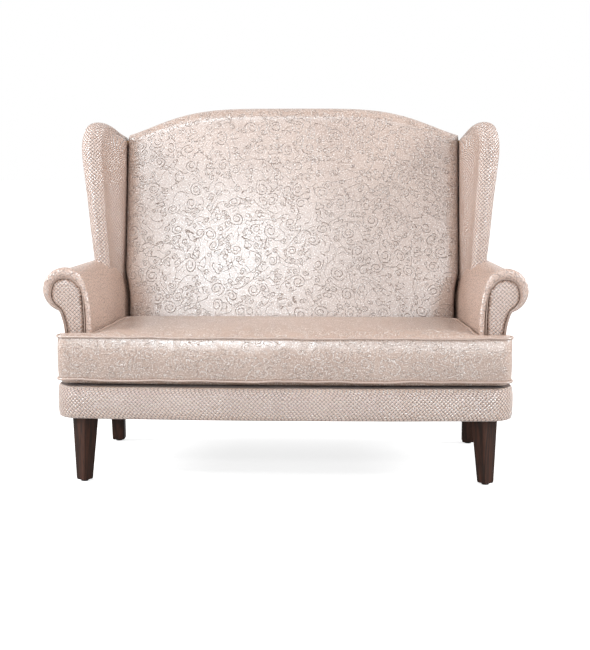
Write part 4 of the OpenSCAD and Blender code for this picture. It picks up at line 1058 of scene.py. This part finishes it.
def web_straps():
    """The back's woven webbing: straps up the back and across it, passing over and under each other."""
    points, faces = [], []
    n, half, width = 25, 569, 50
    def strap(x0, x1, h0, h1, y0, across):
        base = len(points)
        for k in range(n):
            t = k / (n - 1)
            y = y0 + math.sin(t * math.pi * (6 if across else 4))
            for e in (0, 1):
                x = x0 + (x1 - x0) * (t if across else e)
                h = h0 + (h1 - h0) * (e if across else t)
                points.append([x, REAR_Y + y * math.cos(RAKE) + h * math.sin(RAKE),
                               DECK_TOP + h * math.cos(RAKE) - y * math.sin(RAKE)])
        faces.extend([[base + 2 * k, base + 2 * k + 1, base + 2 * k + 3, base + 2 * k + 2] for k in range(n - 1)])
    for k in range(6):
        x = (2 * k - 5) * half / 6
        strap(x - width / 2, x + width / 2, 75, 640, -73, False)
    for k in range(4):
        h = 110 + 495 * (k + 0.5) / 4
        strap(-half, half, h, h + width, -75, True)
    webs = new_object("web_straps", points, faces, no_map(faces))
    mod = webs.modifiers.new("thick", "SOLIDIFY")
    mod.thickness = 0.0015
    give(webs, HESSIAN, "settee", ["back_webbing"])


make_base()
make_cushion()
make_zip()
make_inside_back()
make_outside_back()
make_wings()
make_arm_pads()
make_arm_borders()
make_arm_facings()
make_outside_arms()
make_arm_ends()
make_inner()

# CAD nodes that stay as they are, each with its finish
KEPT = {"front_leg_left": WALNUT, "front_leg_right": WALNUT, "rear_leg_left": WALNUT, "rear_leg_right": WALNUT,
        "floor_glides": NYLON, "leg_bolts": STEEL, "leg_tee_nuts": STEEL, "seat_springs": STEEL,
        "spring_clips": STEEL, "zip_slider": BRASS}
for name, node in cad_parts.items():
    if not node.hide_render:
        node.data.materials.clear()
        node.data.materials.append(KEPT.get(name, BEECH))

# ---- stage, light and camera

def box_light(name, place, aim, width, height, power):
    lamp = bpy.data.lights.new(name, "AREA")
    lamp.shape = "RECTANGLE"
    lamp.size, lamp.size_y = width, height
    lamp.energy = power
    ob = linked(name, lamp)
    ob.location = place
    ob.rotation_euler = (Vector(aim) - Vector(place)).to_track_quat("-Z", "Y").to_euler()


def make_stage():
    """A plain studio: white where it is seen or mirrored, softer light from straight above, and a pale floor."""
    world = bpy.data.worlds.new("studio")
    bpy.context.scene.world = world
    world.use_nodes = True
    net = Net(world.node_tree)
    back = world.node_tree.nodes["Background"]
    ray = net.node("ShaderNodeLightPath")
    seen = net.most(ray.outputs["Is Camera Ray"],
                    net.most(ray.outputs["Is Glossy Ray"], ray.outputs["Is Transmission Ray"]))
    back.inputs["Color"].default_value = (1, 1, 1, 1)
    _, _, up = net.split(net.place("Generated"))
    plain = net.step(up, 0.35, 0.95, 0.785, 0.54)
    net.put(back.inputs["Strength"], net.most(seen, plain))
    mesh = bpy.data.meshes.new("floor")
    mesh.from_pydata([(-30, -30, 0), (30, -30, 0), (30, 30, 0), (-30, 30, 0)], [], [(0, 1, 2, 3)])
    floor = linked("floor", mesh)
    mat, net, shader = new_material("floor_white", Base_Color=(0.55, 0.55, 0.55, 1), Roughness=0.9)
    tree = mat.node_tree
    ray = net.node("ShaderNodeLightPath")
    seen = net.most(ray.outputs["Is Camera Ray"], ray.outputs["Is Transmission Ray"])
    glow = net.node("ShaderNodeEmission", dict(Color=(1, 1, 1, 1), Strength=net.mul(seen, 0.74)))
    both = net.node("ShaderNodeAddShader")
    tree.links.new(shader.outputs[0], both.inputs[0])
    tree.links.new(glow.outputs[0], both.inputs[1])
    tree.links.new(both.outputs[0], tree.nodes["Material Output"].inputs["Surface"])
    mesh.materials.append(mat)
    box_light("key", (-2.0, -3.2, 3.4), (0.0, 0.1, 0.7), 0.4, 0.4, 44)
    box_light("left", (-4.2, -0.4, 2.6), (0.6, -0.1, 0.7), 1.6, 1.6, 170)
    box_light("front", (-0.6, -3.4, 1.86), (-0.2, 0.16, 0.65), 0.85, 0.4, 25)
    box_light("fill", (1.5, -3.4, 1.55), (0.2, 0.1, 0.6), 2.2, 0.8, 17)
    box_light("right", (4.2, -0.4, 2.6), (-0.6, -0.1, 0.7), 1.6, 1.6, 155)


make_stage()
cam = bpy.data.cameras.new("camera")
cam.sensor_width = 36
cam.lens = 79.63
camera = linked("camera", cam)
camera.location = (0.2192, -4.5656, 1.0316)
camera.rotation_euler = (math.radians(82.598), math.radians(0.053), math.radians(2.488))
bpy.context.scene.camera = camera
bpy.context.scene.view_settings.view_transform = "Standard"
